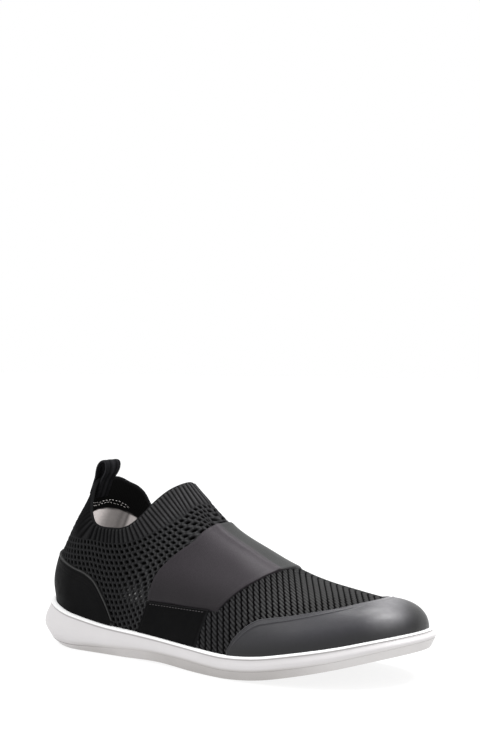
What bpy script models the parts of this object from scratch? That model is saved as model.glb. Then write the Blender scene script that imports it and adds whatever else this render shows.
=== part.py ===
"""A right slip-on sneaker: knit upper, toe cap, counter, instep strap, pull loop, insole and unit sole.

X runs from heel to toe, Y to the wearer's left, which is the inner side of a right foot, Z up.
Every surface is worked out in millimetres from the last's sizes and goes into the mesh in metres.
"""

from collections import namedtuple

import bpy
import numpy as np

MM = 0.001

# Last and upper, in millimetres
LAST_LENGTH = 282.0      # along the feather line, where the upper meets the sole's rim
BALL_WIDTH = 100.0       # across the feather line at the ball
HEEL_RADIUS = 33.0       # of the heel, seen from above
TOE_REACH = 48.0         # length over which the toe rounds off, seen from above
TOE_POWER = 3.1          # of that rounding; 2 is an ellipse, more is blunter
TOE_DOME = 25.0          # length over which the toe's top falls to the rim, seen from the side
INSTEP_HEIGHT = 90.7     # crest above the ground at half the last's length
PEAK_PLACE = 110.6       # front peak's distance from the heel
HEEL_HEIGHT = 116.5      # heel tab above the ground
HEEL_LEAN = 34.4         # how far the heel tab's top lies ahead of the heel's foot
COLLAR_LOW = 85.5        # lowest point of the outer side's collar above the ground
KNIT_WALL = 2.2

# Sole, in millimetres
RIM_HEIGHT = 28.8        # rim above the tread at the heel
STACK_HEIGHT = 14.5      # cup floor above the tread at the heel
BAND_HEIGHT = 8.0        # undercut outsole band at the waist
TREAD_THICKNESS = 2.4    # outsole away from its edge
TOE_SPRING = 21.0
ARCH_RISE = 3.0
ARCH_PLACE = (0.27, 0.54)    # shares of LAST_LENGTH between which the arch is lifted
RIM_WALL = 1.8
RIM_ROUND = 0.8          # rounding of the rim's outer top edge
BEAD_PROUD = 0.7
BEAD_HEIGHT = 3.6
BEAD_STEP = 0.6          # height of the step under the bead
HEEL_FLARE = 9.5
WIDEST_PLACE = 0.33      # height of the wall's widest line, as a share of the wall's
NECK_SHARE = 0.3         # share of the flare that is left under the bead
UNDERCUT = 4.0
BAND_LEDGE = 4.0         # width of the outsole's upturned edge
GROOVE_DEPTH = 1.2
GROOVE_WIDTH = 2.4
GROOVE_SHARE = 0.76      # share of the tread's width that a groove crosses
GROOVES = (0.13, 0.19, 0.56, 0.62, 0.68, 0.74, 0.80)     # shares of LAST_LENGTH

# Insole, overlays and loop, in millimetres
INSOLE_THICKNESS = 4.0
INSOLE_BEVEL = 1.0       # at the insole's lower edge
INSOLE_ROUND = 1.0       # at its upper edge
HEEL_CUP = 9.0           # rise of the insole's edge round the heel
CUP_WIDTH = 6.0
CUP_FADE = (0.10, 0.36)  # shares of LAST_LENGTH between which the cup fades out
CUP_FOOT = 0.15          # share of the cup's rise that is left at its inner foot
LEATHER = 1.3
ELASTIC = 1.3
PANEL = 1.1
LAP = 0.45               # clearance between the upper and what is sewn on it
GAP = 0.3                # clearance between pieces that touch
LOOP_WIDTH = 16.0
LOOP_NECK = 12.5
LOOP_THICKNESS = 1.5
LOOP_INSET = 1.1         # clearance between the loop's inner tail and the upper's curved wall
LOOP_RISE = 13.3         # loop above the heel tab
LOOP_TAIL = 11.5         # webbing sewn on below the tab's edge
LOOP_BEND = 2.1          # forward bend of the loop's top, growing with the height squared
LOOP_WAIST = 0.55        # share of its rise at which the loop is widest
LOOP_SPREAD = 7.9        # between the loop's two legs where it is widest

# Number of steps round each ring and along each patch
RING_STEPS = 72
UPPER_ROWS = 13
CAP_GRID = (30, 8)
COUNTER_GRID = (20, 6)
STRAP_GRID = (24, 5)
PANEL_GRID = (6, 3)
CROSS_STEPS = 5

# Feather line seen from above, as shares of LAST_LENGTH and BALL_WIDTH
Plan = namedtuple("Plan", "along half middle")
PLAN = (
    Plan(0.00, 0.297, 0.021),
    Plan(0.10, 0.312, 0.014),
    Plan(0.20, 0.320, -0.002),
    Plan(0.30, 0.321, -0.025),
    Plan(0.40, 0.343, -0.037),
    Plan(0.50, 0.401, -0.033),
    Plan(0.60, 0.466, -0.019),
    Plan(0.68, 0.497, -0.001),
    Plan(0.74, 0.499, 0.019),
    Plan(0.80, 0.486, 0.040),
    Plan(0.88, 0.418, 0.069),
    Plan(0.95, 0.357, 0.101),
    Plan(1.00, 0.306, 0.134),
)

# Sole seen from the side, as shares of LAST_LENGTH, TOE_SPRING, BAND_HEIGHT, STACK_HEIGHT,
# RIM_HEIGHT, HEEL_FLARE, HEEL_FLARE and UNDERCUT; band, floor and rim are measured from the tread,
# tuck is how far the band's upper edge lies inside the wall's widest line
Side = namedtuple("Side", "along tread band floor rim flare tuck undercut")
SIDE = (
    Side(0.00, 0.175, 0.60, 1.000, 1.000, 1.04, 0.76, 1.30),
    Side(0.06, 0.060, 0.53, 1.000, 0.958, 0.88, 0.46, 1.00),
    Side(0.12, 0.000, 0.50, 1.000, 0.861, 0.69, 0.23, 0.80),
    Side(0.22, 0.000, 0.69, 0.970, 0.729, 0.45, 0.10, 0.90),
    Side(0.35, 0.000, 1.00, 0.860, 0.663, 0.35, 0.08, 1.10),
    Side(0.50, 0.000, 1.00, 0.720, 0.594, 0.31, 0.08, 0.90),
    Side(0.62, 0.000, 0.81, 0.620, 0.545, 0.30, 0.08, 0.75),
    Side(0.72, 0.109, 0.78, 0.585, 0.535, 0.30, 0.08, 0.75),
    Side(0.80, 0.318, 0.75, 0.540, 0.524, 0.32, 0.08, 0.75),
    Side(0.88, 0.569, 0.75, 0.480, 0.493, 0.35, 0.08, 0.75),
    Side(0.95, 0.829, 0.81, 0.440, 0.465, 0.42, 0.10, 0.75),
    Side(1.00, 1.000, 0.88, 0.435, 0.441, 0.53, 0.12, 0.75),
)

# Upper's sections, as shares of LAST_LENGTH, INSTEP_HEIGHT and BALL_WIDTH; behind the collar's
# peak the crest is the one that the section would have without its opening
Section = namedtuple("Section", "along crest squareness ridge")
SECTIONS = (
    Section(0.00, 1.970, 1.90, 0.000),
    Section(0.12, 1.925, 1.80, 0.000),
    Section(0.22, 1.753, 1.70, 0.000),
    Section(0.32, 1.507, 1.60, 0.010),
    Section(0.42, 1.208, 1.55, 0.020),
    Section(0.50, 0.985, 1.60, 0.030),
    Section(0.60, 0.817, 1.70, 0.040),
    Section(0.70, 0.678, 1.90, 0.060),
    Section(0.80, 0.601, 2.10, 0.080),
    Section(0.90, 0.555, 2.40, 0.090),
    Section(1.00, 0.560, 2.60, 0.110),
)

# Heel seen from the side, as shares of its height above the rim and of HEEL_LEAN
Heel = namedtuple("Heel", "up forward")
HEEL = (
    Heel(0.00, 0.00),
    Heel(0.13, -0.04),
    Heel(0.30, 0.06),
    Heel(0.50, 0.31),
    Heel(0.68, 0.57),
    Heel(0.85, 0.84),
    Heel(1.00, 1.00),
)

# Collar's edge from heel tab to peak: height as a share of the way from COLLAR_LOW to HEEL_HEIGHT
# behind the low point and to the peak ahead of it, on the outer and the inner side
Collar = namedtuple("Collar", "along outer inner")
COLLAR = (
    Collar(0.00, 1.00, 1.00),
    Collar(0.06, 0.80, 1.00),
    Collar(0.13, 0.38, 0.88),
    Collar(0.21, 0.09, 0.76),
    Collar(0.26, 0.03, 0.62),
    Collar(0.30, 0.01, 0.41),
    Collar(0.40, 0.00, 0.18),
    Collar(0.50, 0.01, 0.12),
    Collar(0.60, 0.09, 0.17),
    Collar(0.70, 0.28, 0.33),
    Collar(0.82, 0.61, 0.62),
    Collar(0.92, 0.86, 0.87),
    Collar(1.00, 1.00, 1.00),
)
LOW_PLACE = 0.50         # share along the collar where its heights change their reference

# Edges of what is sewn on the upper, seen from the side, as shares of LAST_LENGTH and of the way
# from the rim to the crest
Edge = namedtuple("Edge", "along up")
CAP_EDGE = (
    Edge(0.632, 0.03),
    Edge(0.647, 0.19),
    Edge(0.662, 0.30),
    Edge(0.692, 0.46),
    Edge(0.725, 0.53),
    Edge(0.770, 0.60),
    Edge(0.815, 0.70),
    Edge(0.866, 0.84),
    Edge(0.894, 0.95),
    Edge(0.910, 1.00),
)
Counter = namedtuple("Counter", "along rise")
COUNTER_HEIGHT = 33.0    # top of the counter above the rim at the heel's back
COUNTER_LENGTH = 72.0
COUNTER_EDGE = (
    Counter(0.00, 1.00),
    Counter(0.25, 0.99),
    Counter(0.45, 0.97),
    Counter(0.62, 0.93),
    Counter(0.74, 0.82),
    Counter(0.84, 0.60),
    Counter(0.92, 0.38),
    Counter(1.00, 0.10),
)

# Side panel and strap: corners and edges as shares of LAST_LENGTH and heights above the ground
PANEL_FOOT = (0.337, 0.537)
PANEL_TOP = (0.367, 0.561)
PANEL_HEIGHT = 40.5
Strap = namedtuple("Strap", "up back front")
STRAP = (
    Strap(0.00, 0.364, 0.586),
    Strap(0.20, 0.380, 0.604),
    Strap(0.45, 0.424, 0.626),
    Strap(0.70, 0.463, 0.648),
    Strap(0.88, 0.477, 0.661),
    Strap(1.00, 0.491, 0.672),
)


def column(table, name):
    """One named column of a table as an array."""
    return np.array([getattr(row, name) for row in table], float)


def smooth(at, places, values):
    """Cubic curve through (places, values), with slopes averaged from the neighbouring points."""
    at = np.asarray(at, float)
    slope = np.gradient(values, places)
    i = np.clip(np.searchsorted(places, at) - 1, 0, len(places) - 2)
    step = places[i + 1] - places[i]
    t = np.clip((at - places[i]) / step, -0.5, 1.5)
    return ((2 * t**3 - 3 * t**2 + 1) * values[i] + (t**3 - 2 * t**2 + t) * step * slope[i]
            + (3 * t**2 - 2 * t**3) * values[i + 1] + (t**3 - t**2) * step * slope[i + 1])


def along(table, name, x):
    """A table's column at the distance x from the heel."""
    return smooth(np.asarray(x) / LAST_LENGTH, column(table, "along"), column(table, name))


def rounding(distance, reach, power=2.0):
    """Falls from 1 to 0 as a superellipse over the last `reach` before an end."""
    return np.sqrt(np.clip(1.0 - np.clip(1.0 - distance / reach, 0.0, 1.0) ** power, 0.0, 1.0))


# Heights along the sole

def arch_lift(x, side):
    """Rise of the tread under the arch: full on the inner side (side 1), a third on the outer."""
    share = (np.asarray(x) / LAST_LENGTH - ARCH_PLACE[0]) / (ARCH_PLACE[1] - ARCH_PLACE[0])
    share = np.clip(share, 0.0, 1.0)
    return ARCH_RISE * np.sin(np.pi * share) ** 2 * (2.0 + side) / 3.0


def tread_height(x):
    return TOE_SPRING * np.maximum(along(SIDE, "tread", x), 0.0)


def band_top(x):
    return tread_height(x) + BAND_HEIGHT * along(SIDE, "band", x)


def floor_height(x):
    return tread_height(x) + STACK_HEIGHT * along(SIDE, "floor", x)


def rim_height(x):
    return tread_height(x) + RIM_HEIGHT * along(SIDE, "rim", x)


# Upper's outer face

def heel_back(z):
    """Place of the heel's back at height z."""
    foot = rim_height(0.0)
    up = (z - foot) / (HEEL_HEIGHT - foot)
    return HEEL_LEAN * smooth(up, column(HEEL, "up"), column(HEEL, "forward"))


def crest_height(x):
    """Height of the section's highest line; it falls to the rim in the toe's dome."""
    foot = rim_height(LAST_LENGTH)
    top = INSTEP_HEIGHT * along(SECTIONS, "crest", x)
    return foot + (top - foot) * rounding(LAST_LENGTH - np.asarray(x), TOE_DOME)


def skin(x, z, side):
    """Point of the upper's outer face seen from the side at (x, z); side is -1 outside, 1 inside.

    The half-width is the feather line's, times the section's superellipse between rim and
    crest, times the rounding of heel and toe; the middle moves from the feather line's to the crest's.
    """
    x, z, side = np.broadcast_arrays(np.asarray(x, float), np.asarray(z, float), np.asarray(side, float))
    half = BALL_WIDTH * along(PLAN, "half", x)
    middle = BALL_WIDTH * along(PLAN, "middle", x)
    ridge = BALL_WIDTH * along(SECTIONS, "ridge", x)
    foot = rim_height(x)
    up = np.clip((z - foot) / np.maximum(crest_height(x) - foot, 1e-6), 0.0, 1.0)
    arch = np.sqrt(1.0 - up ** along(SECTIONS, "squareness", x))
    ends = rounding(x - heel_back(np.maximum(z, rim_height(0.0))), HEEL_RADIUS)
    ends = ends * rounding(LAST_LENGTH - x, TOE_REACH, TOE_POWER)
    y = middle + (ridge - middle) * up + side * half * arch * ends
    return np.stack([x, y, z], axis=-1)


def feather(u):
    """Feather line at angle u: heel at 0, outer side, toe at pi, inner side."""
    x = LAST_LENGTH * (1.0 - np.cos(u)) / 2.0
    side = np.where(np.sin(u) >= 0.0, -1.0, 1.0)
    half = BALL_WIDTH * along(PLAN, "half", x)
    ends = rounding(x, HEEL_RADIUS) * rounding(LAST_LENGTH - x, TOE_REACH, TOE_POWER)
    return x, BALL_WIDTH * along(PLAN, "middle", x) + side * half * ends, side


def ring(u, grow, height):
    """Feather line moved outwards by `grow` in plan, at `height`."""
    x, y, _ = feather(u)
    before, after = feather(u - 1e-3), feather(u + 1e-3)
    tangent = np.stack([after[0] - before[0], after[1] - before[1]])
    tangent = tangent / np.hypot(*tangent)
    return np.stack([x + tangent[1] * grow, y - tangent[0] * grow, height + 0.0 * x], axis=-1)


def collar_line(v, side):
    """Collar's edge seen from the side: heel tab at v = 0, peak at v = 1."""
    start = heel_back(HEEL_HEIGHT)
    x = start + (PEAK_PLACE - start) * v
    shares = np.where(side < 0, smooth(v, column(COLLAR, "along"), column(COLLAR, "outer")),
                      smooth(v, column(COLLAR, "along"), column(COLLAR, "inner")))
    lean = np.clip((v - LOW_PLACE) / (1.0 - LOW_PLACE), 0.0, 1.0)
    top = HEEL_HEIGHT + (crest_height(PEAK_PLACE) - HEEL_HEIGHT) * lean
    return x, COLLAR_LOW + (top - COLLAR_LOW) * shares


def crest_line(w, start, end):
    """Crest seen from the side from x = start down to x = end, w even along its length."""
    x = start - (start - end) * np.linspace(0.0, 1.0, 400) ** 2
    z = crest_height(x)
    run = np.concatenate([[0.0], np.cumsum(np.hypot(np.diff(x), np.diff(z)))])
    x = np.interp(np.asarray(w) * run[-1], run, x)
    return x, crest_height(x)


def coons(v, w, bottom, top, left, right):
    """Patch between four curves seen from the side; each curve is a function giving (x, z)."""
    zero, one = np.zeros_like(v), np.ones_like(v)
    point = []
    for axis in range(2):
        low, high = bottom(v)[axis], top(v)[axis]
        near, far = left(w)[axis], right(w)[axis]
        corners = ((1 - v) * (1 - w) * bottom(zero)[axis] + v * (1 - w) * bottom(one)[axis]
                   + (1 - v) * w * top(zero)[axis] + v * w * top(one)[axis])
        point.append((1 - w) * low + w * high + (1 - v) * near + v * far - corners)
    return point


def upper_face(u, w):
    """Upper from the feather line (w = 0) to the collar (w = 1), u as in feather()."""
    side = np.where(np.sin(u) >= 0.0, -1.0, 1.0)
    v = (1.0 - np.cos(u)) / 2.0
    foot = rim_height(0.0)

    def bottom(v):
        return LAST_LENGTH * v, rim_height(LAST_LENGTH * v)

    def top(v):
        return collar_line(v, side)

    def left(w):
        z = foot + (HEEL_HEIGHT - foot) * w
        return heel_back(z), z

    def right(w):
        return crest_line(w, LAST_LENGTH, PEAK_PLACE)

    x, z = coons(v, w, bottom, top, left, right)
    return skin(x, z, side)


def cap_face(t, w):
    """Toe cap: t from -1 at its outer end over the toe to 1 at its inner end, w from rim to edge."""
    side = np.where(t < 0.0, -1.0, 1.0)
    v = 1.0 - t**2
    start, end = CAP_EDGE[0].along * LAST_LENGTH, CAP_EDGE[-1].along * LAST_LENGTH

    def edge(v):
        x = start + (end - start) * v
        up = smooth(x / LAST_LENGTH, column(CAP_EDGE, "along"), column(CAP_EDGE, "up"))
        foot = rim_height(x)
        return x, foot + (crest_height(x) - foot) * np.clip(up, 0.0, 1.0)

    def bottom(v):
        x = start + (LAST_LENGTH - start) * v
        return x, rim_height(x)

    def left(w):
        low, high = bottom(0.0)[1], edge(0.0)[1]
        return start + 0.0 * w, low + (high - low) * w

    def right(w):
        return crest_line(w, LAST_LENGTH, end)

    x, z = coons(v, w, bottom, edge, left, right)
    return skin(x, z, side)


def counter_face(t, w):
    """Heel counter: t from -1 at its inner end round the heel to 1 at its outer end."""
    side = np.where(t < 0.0, 1.0, -1.0)
    v = t**2

    def bottom(v):
        return COUNTER_LENGTH * v, rim_height(COUNTER_LENGTH * v)

    def edge(v):
        start = heel_back(rim_height(0.0) + COUNTER_HEIGHT)
        x = start + (COUNTER_LENGTH - start) * v
        rise = smooth(v, column(COUNTER_EDGE, "along"), column(COUNTER_EDGE, "rise"))
        return x, rim_height(COUNTER_LENGTH * v) + COUNTER_HEIGHT * rise

    def left(w):
        z = rim_height(0.0) + COUNTER_HEIGHT * w
        return heel_back(z), z

    def right(w):
        low, high = bottom(1.0)[1], edge(1.0)[1]
        return COUNTER_LENGTH + 0.0 * w, low + (high - low) * w

    x, z = coons(v, w, bottom, edge, left, right)
    return skin(x, z, side)


def panel_face(side):
    """Side panel under the strap's end: t round the shoe, w from the rim up."""

    def face(t, w):
        t = t if side < 0 else 1.0 - t
        foot = PANEL_FOOT[0] + (PANEL_FOOT[1] - PANEL_FOOT[0]) * t
        top = PANEL_TOP[0] + (PANEL_TOP[1] - PANEL_TOP[0]) * t
        x = LAST_LENGTH * (foot + (top - foot) * w)
        low = rim_height(x)
        return skin(x, low + (PANEL_HEIGHT - low) * w, side)

    return face


def strap_face(t, w):
    """Strap: t from -1 at the outer panel over the crest to 1 at the inner one, w front to back."""
    side = np.where(t < 0.0, -1.0, 1.0)
    up = 1.0 - t**2
    back = smooth(up, column(STRAP, "up"), column(STRAP, "back"))
    front = smooth(up, column(STRAP, "up"), column(STRAP, "front"))
    x = LAST_LENGTH * (front + (back - front) * w)
    low = PANEL_HEIGHT + GAP
    return skin(x, low + (crest_height(x) - low) * up, side)


# Meshes

def offset_face(face, t, w, distance):
    """Grid of a face, moved outwards by `distance` along its normal."""
    t, w = np.meshgrid(t, w)
    step = 1e-4
    across = face(t + step, w) - face(t - step, w)
    upward = face(t, w + step) - face(t, w - step)
    normal = np.cross(across, upward)
    normal = normal / np.linalg.norm(normal, axis=-1, keepdims=True)
    return face(t, w) + normal * distance


def grid_faces(rows, columns, wrap=False, turned=False):
    """Quads of a grid of points, counter-clockwise for columns to the right and rows upwards.

    A turned quad starts one corner later, so that it is split along its other diagonal.
    """
    last = columns if wrap else columns - 1
    quads = [
        (j * columns + i, j * columns + (i + 1) % columns,
         (j + 1) * columns + (i + 1) % columns, (j + 1) * columns + i)
        for j in range(rows - 1) for i in range(last)
    ]
    return [quad[1:] + quad[:1] for quad in quads] if turned else quads


def cap_points(edge, steps, height):
    """Inner points of a ring's cap: strips across the ring, each `steps` wide."""
    half = len(edge) // 2
    outer, inner = edge[1:half], edge[:half:-1]
    shares = np.linspace(0.0, 1.0, steps + 1)[1:-1, None]
    points = outer[:, None] * (1.0 - shares) + inner[:, None] * shares
    points[..., 2] = height(points[..., 0], shares[:, 0])
    return points


def cap_faces(ring_start, columns, inner_start, steps, upward):
    """Faces between a ring and the inner points that cap_points made for it."""
    half = columns // 2

    def row(i):
        if i in (0, half):
            return [ring_start + i]
        inner = inner_start + (i - 1) * (steps - 1)
        return [ring_start + i, *range(inner, inner + steps - 1), ring_start + columns - i]

    faces = []
    for i in range(half):
        near, far = row(i), row(i + 1)
        if len(near) == 1:
            faces += [(near[0], far[k], far[k + 1]) for k in range(steps)]
        elif len(far) == 1:
            faces += [(near[k], far[0], near[k + 1]) for k in range(steps)]
        else:
            faces += [(near[k], far[k], far[k + 1], near[k + 1]) for k in range(steps)]
    return faces if upward else [(face[0], *face[:0:-1]) for face in faces]


def add_object(name, points, faces, material, collection, smooth_angle=35.0):
    """Object from points in millimetres."""
    mesh = bpy.data.meshes.new(name)
    mesh.from_pydata((np.asarray(points) * MM).tolist(), [], faces)
    mesh.validate()
    mesh.shade_smooth()
    mesh.set_sharp_from_angle(angle=np.radians(smooth_angle))
    mesh.materials.append(material)
    part = bpy.data.objects.new(name, mesh)
    collection.objects.link(part)
    return part


def ring_body(name, rings, bottom, top, material, collection, turned=False):
    """Closed body through rings, from its lowest cap, up its side and in to its highest cap."""
    columns = len(rings[0])
    points = [np.concatenate(rings)]
    faces = grid_faces(len(rings), columns, wrap=True, turned=turned)
    start = len(rings) * columns
    for edge, first, height, upward in (
            (rings[0], 0, bottom, False), (rings[-1], (len(rings) - 1) * columns, top, True)):
        inner = cap_points(edge, CROSS_STEPS, height).reshape(-1, 3)
        faces += cap_faces(first, columns, start, CROSS_STEPS, upward)
        points.append(inner)
        start += len(inner)
    return add_object(name, np.concatenate(points), faces, material, collection)


def sewn_piece(name, face, t, rows, thickness, material, collection):
    """Piece that follows the upper: its face lifted clear, with its thickness from Solidify."""
    points = offset_face(face, t, np.linspace(0.0, 1.0, rows + 1), LAP)
    points[..., 2] = np.maximum(points[..., 2], rim_height(points[..., 0]) + GAP)
    part = add_object(name, points.reshape(-1, 3), grid_faces(rows + 1, len(t)), material, collection)
    wall = part.modifiers.new("thickness", "SOLIDIFY")
    wall.thickness = thickness * MM
    wall.offset = 1.0
    return part


def material_of(name, colour, roughness):
    """Plain Principled material."""
    material = bpy.data.materials.new(name)
    material.use_nodes = True
    shader = material.node_tree.nodes["Principled BSDF"]
    shader.inputs["Base Color"].default_value = (*colour, 1.0)
    shader.inputs["Roughness"].default_value = roughness
    shader.inputs["Metallic"].default_value = 0.0
    return material


# Pieces

def ring_angles():
    return np.linspace(0.0, 2.0 * np.pi, RING_STEPS, endpoint=False)


def sole_lines(u):
    """Offsets from the feather line of the wall's widest line, the band's edge and the tread's edge."""
    x = feather(u)[0]
    wall = RIM_WALL + HEEL_FLARE * along(SIDE, "flare", x)
    band = wall - HEEL_FLARE * along(SIDE, "tuck", x)
    return wall, band, band - UNDERCUT * along(SIDE, "undercut", x)


def core_height(x, share):
    """Top of the outsole away from its edge, at a share of the width from the outer side."""
    return tread_height(x) + arch_lift(x, 2.0 * share - 1.0) + TREAD_THICKNESS


def make_outsole(material, collection, cutters):
    """Rubber tread: an undercut band round its side, an arch and flex grooves under it."""
    u = ring_angles()
    x, _, side = feather(u)
    _, band, tread = sole_lines(u)

    def underside(x, share):
        return core_height(x, share) - TREAD_THICKNESS

    rings = [
        ring(u, tread, tread_height(x) + arch_lift(x, side)),
        ring(u, band, band_top(x) - GAP),
        ring(u, band - BAND_LEDGE, core_height(x, (side + 1.0) / 2.0)),
    ]
    outsole = ring_body("outsole", rings, underside, core_height, material, collection)
    for i, share in enumerate(GROOVES):
        place = share * LAST_LENGTH
        cut = outsole.modifiers.new(f"groove_{i}", "BOOLEAN")
        cut.operation = "DIFFERENCE"
        cut.object = make_groove(i, place, cutters)
    return outsole


def make_groove(index, x, cutters):
    """Cutter for one flex groove across the tread at x, tilted with the toe spring."""
    slope = (tread_height(x + 1.0) - tread_height(x - 1.0)) / 2.0
    width = 2.0 * BALL_WIDTH * along(PLAN, "half", x) * GROOVE_SHARE
    middle = BALL_WIDTH * along(PLAN, "middle", x)
    bpy.ops.mesh.primitive_cube_add(size=MM)
    cutter = bpy.context.object
    cutter.name = f"groove_cutter_{index}"
    cutter.scale = (GROOVE_WIDTH, width, 2.0 * GROOVE_DEPTH)
    cutter.rotation_euler.y = -np.arctan(slope)
    cutter.location = np.array([x, middle, tread_height(x)]) * MM
    cutter.hide_render = True
    cutter.display_type = "WIRE"
    for owner in list(cutter.users_collection):
        owner.objects.unlink(cutter)
    cutters.objects.link(cutter)
    return cutter


def make_midsole(material, collection):
    """White cup: flared wall over the band, a bead round its rim, and the floor inside it."""
    u = ring_angles()
    x, _, side = feather(u)
    wall, band, _ = sole_lines(u)
    rim, edge = rim_height(x), band_top(x)
    neck = RIM_WALL + (wall - RIM_WALL) * NECK_SHARE
    rings = [
        ring(u, band - BAND_LEDGE, core_height(x, (side + 1.0) / 2.0) + GAP),
        ring(u, band, edge),
        ring(u, wall, edge + (rim - edge) * WIDEST_PLACE),
        ring(u, neck, rim - BEAD_HEIGHT - BEAD_STEP),
        ring(u, neck + BEAD_PROUD, rim - BEAD_HEIGHT),
        ring(u, RIM_WALL + BEAD_PROUD, rim - RIM_ROUND),
        ring(u, RIM_WALL + BEAD_PROUD - RIM_ROUND, rim),
        ring(u, GAP, rim),
        ring(u, GAP, floor_height(x)),
    ]

    def underside(x, share):
        return core_height(x, share) + GAP

    def floor(x, share):
        return floor_height(x)

    return ring_body("midsole", rings, underside, floor, material, collection, turned=True)


def make_insole(material, collection):
    """Foam footbed inside the upper's wall, its edge raised round the heel."""
    u = ring_angles()
    x = feather(u)[0]
    inset = -(KNIT_WALL + 2.0 * GAP)
    low = floor_height(x) + GAP
    fade = np.clip((CUP_FADE[1] - x / LAST_LENGTH) / (CUP_FADE[1] - CUP_FADE[0]), 0.0, 1.0)
    cup = HEEL_CUP * fade**2 * (3.0 - 2.0 * fade)
    top = low + INSOLE_THICKNESS
    rings = [
        ring(u, inset - INSOLE_BEVEL, low),
        ring(u, inset, low + INSOLE_BEVEL),
        ring(u, inset, top + cup - INSOLE_ROUND),
        ring(u, inset - INSOLE_ROUND, top + cup),
        ring(u, inset - CUP_WIDTH, top + CUP_FOOT * cup),
    ]

    def underside(x, share):
        return floor_height(x) + GAP

    def footbed(x, share):
        return floor_height(x) + GAP + INSOLE_THICKNESS

    return ring_body("insole", rings, underside, footbed, material, collection)


def make_upper(material, collection):
    """Knitted upper: one wall from the cup's floor up to the collar, open above and below."""
    u = ring_angles()
    hem = ring(u, 0.0, floor_height(feather(u)[0]) + GAP)
    across, up = np.meshgrid(u, np.linspace(0.0, 1.0, UPPER_ROWS + 1))
    points = np.concatenate([hem[None], upper_face(across, up)])
    faces = grid_faces(len(points), len(u), wrap=True)
    upper = add_object("upper", points.reshape(-1, 3), faces, material, collection, 60.0)
    wall = upper.modifiers.new("knit_wall", "SOLIDIFY")
    wall.thickness = KNIT_WALL * MM
    wall.offset = -1.0
    return upper


def heel_spine(height):
    """Heel's back at heights from the tab's edge, bent forward above it, and its outward normals."""

    def line(height):
        below = np.minimum(height, 0.0)
        above = np.maximum(height, 0.0)
        slope = heel_back(HEEL_HEIGHT) - heel_back(HEEL_HEIGHT - 1.0)
        forward = heel_back(HEEL_HEIGHT + below) + slope * above + LOOP_BEND * (above / LOOP_RISE) ** 2
        return np.stack([forward, HEEL_HEIGHT + height], axis=-1)

    slope = line(height + 0.5) - line(height - 0.5)
    slope = slope / np.linalg.norm(slope, axis=-1, keepdims=True)
    return line(height), np.stack([-slope[:, 1], slope[:, 0]], axis=-1)


def loop_path():
    """Centre line of the pull loop seen from the side, from its outer tail over to its inner tail.

    It is laid out along and across the heel's slope at the tab's edge: two straight tails, legs
    that spread, and half an ellipse at the top. Also gives each point's width.
    """
    lean = LAP + LOOP_THICKNESS / 2.0
    near, far = lean, -(KNIT_WALL + lean + LOOP_INSET)
    centre, half = (near + far) / 2.0, (near - far) / 2.0
    belly = LOOP_SPREAD / 2.0
    waist = LOOP_WAIST * LOOP_RISE

    leg = np.linspace(0.0, 1.0, 9)
    swell = half + (belly - half) * leg**2 * (3.0 - 2.0 * leg)
    tail = np.linspace(-LOOP_TAIL, 0.0, 4)[:-1]
    turn = np.linspace(0.0, np.pi / 2.0, 7)[1:]
    height = np.concatenate([tail, waist * leg, waist + (LOOP_RISE - waist) * np.sin(turn)])
    spread = np.concatenate([np.full(len(tail), half), swell, belly * np.cos(turn)])
    height = np.concatenate([height, height[-2::-1]])
    spread = np.concatenate([spread, -spread[-2::-1]])
    spine, outward = heel_spine(height)
    place = spine + (centre + spread)[:, None] * outward
    share = np.clip(height / LOOP_RISE, 0.0, 1.0)
    return place, LOOP_NECK + (LOOP_WIDTH - LOOP_NECK) * share


def make_loop(material, collection):
    """Webbing folded into a loop over the heel tab, a strip of rectangular section along its path."""
    place, width = loop_path()
    tangent = np.gradient(place, axis=0)
    tangent = tangent / np.linalg.norm(tangent, axis=1, keepdims=True)
    normal = np.stack([-tangent[:, 1], tangent[:, 0]], axis=1) * LOOP_THICKNESS / 2.0
    middle = skin(heel_back(HEEL_HEIGHT), HEEL_HEIGHT, 1.0)[1]
    rows = []
    for out, across in ((1, 1), (1, -1), (-1, -1), (-1, 1)):
        flat = place + out * normal
        rows.append(np.stack([flat[:, 0], middle + across * width / 2.0, flat[:, 1]], axis=1))
    points = np.stack(rows, axis=1)
    count = len(points)
    faces = grid_faces(count, 4, wrap=True) + [(3, 2, 1, 0)]
    faces.append(tuple(range((count - 1) * 4, count * 4)))
    return add_object("pull_loop", points.reshape(-1, 3), faces, material, collection, 30.0)


def bottom_centre(parts):
    """Bottom centre of the box round all parts, with their modifiers."""
    bpy.context.view_layer.update()
    graph = bpy.context.evaluated_depsgraph_get()
    corners = []
    for part in parts:
        mesh = part.evaluated_get(graph).data
        flat = np.empty(len(mesh.vertices) * 3)
        mesh.vertices.foreach_get("co", flat)
        corners.append(flat.reshape(-1, 3))
    corners = np.concatenate(corners)
    low, high = corners.min(axis=0), corners.max(axis=0)
    return np.array([(low[0] + high[0]) / 2.0, (low[1] + high[1]) / 2.0, low[2]])


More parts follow.
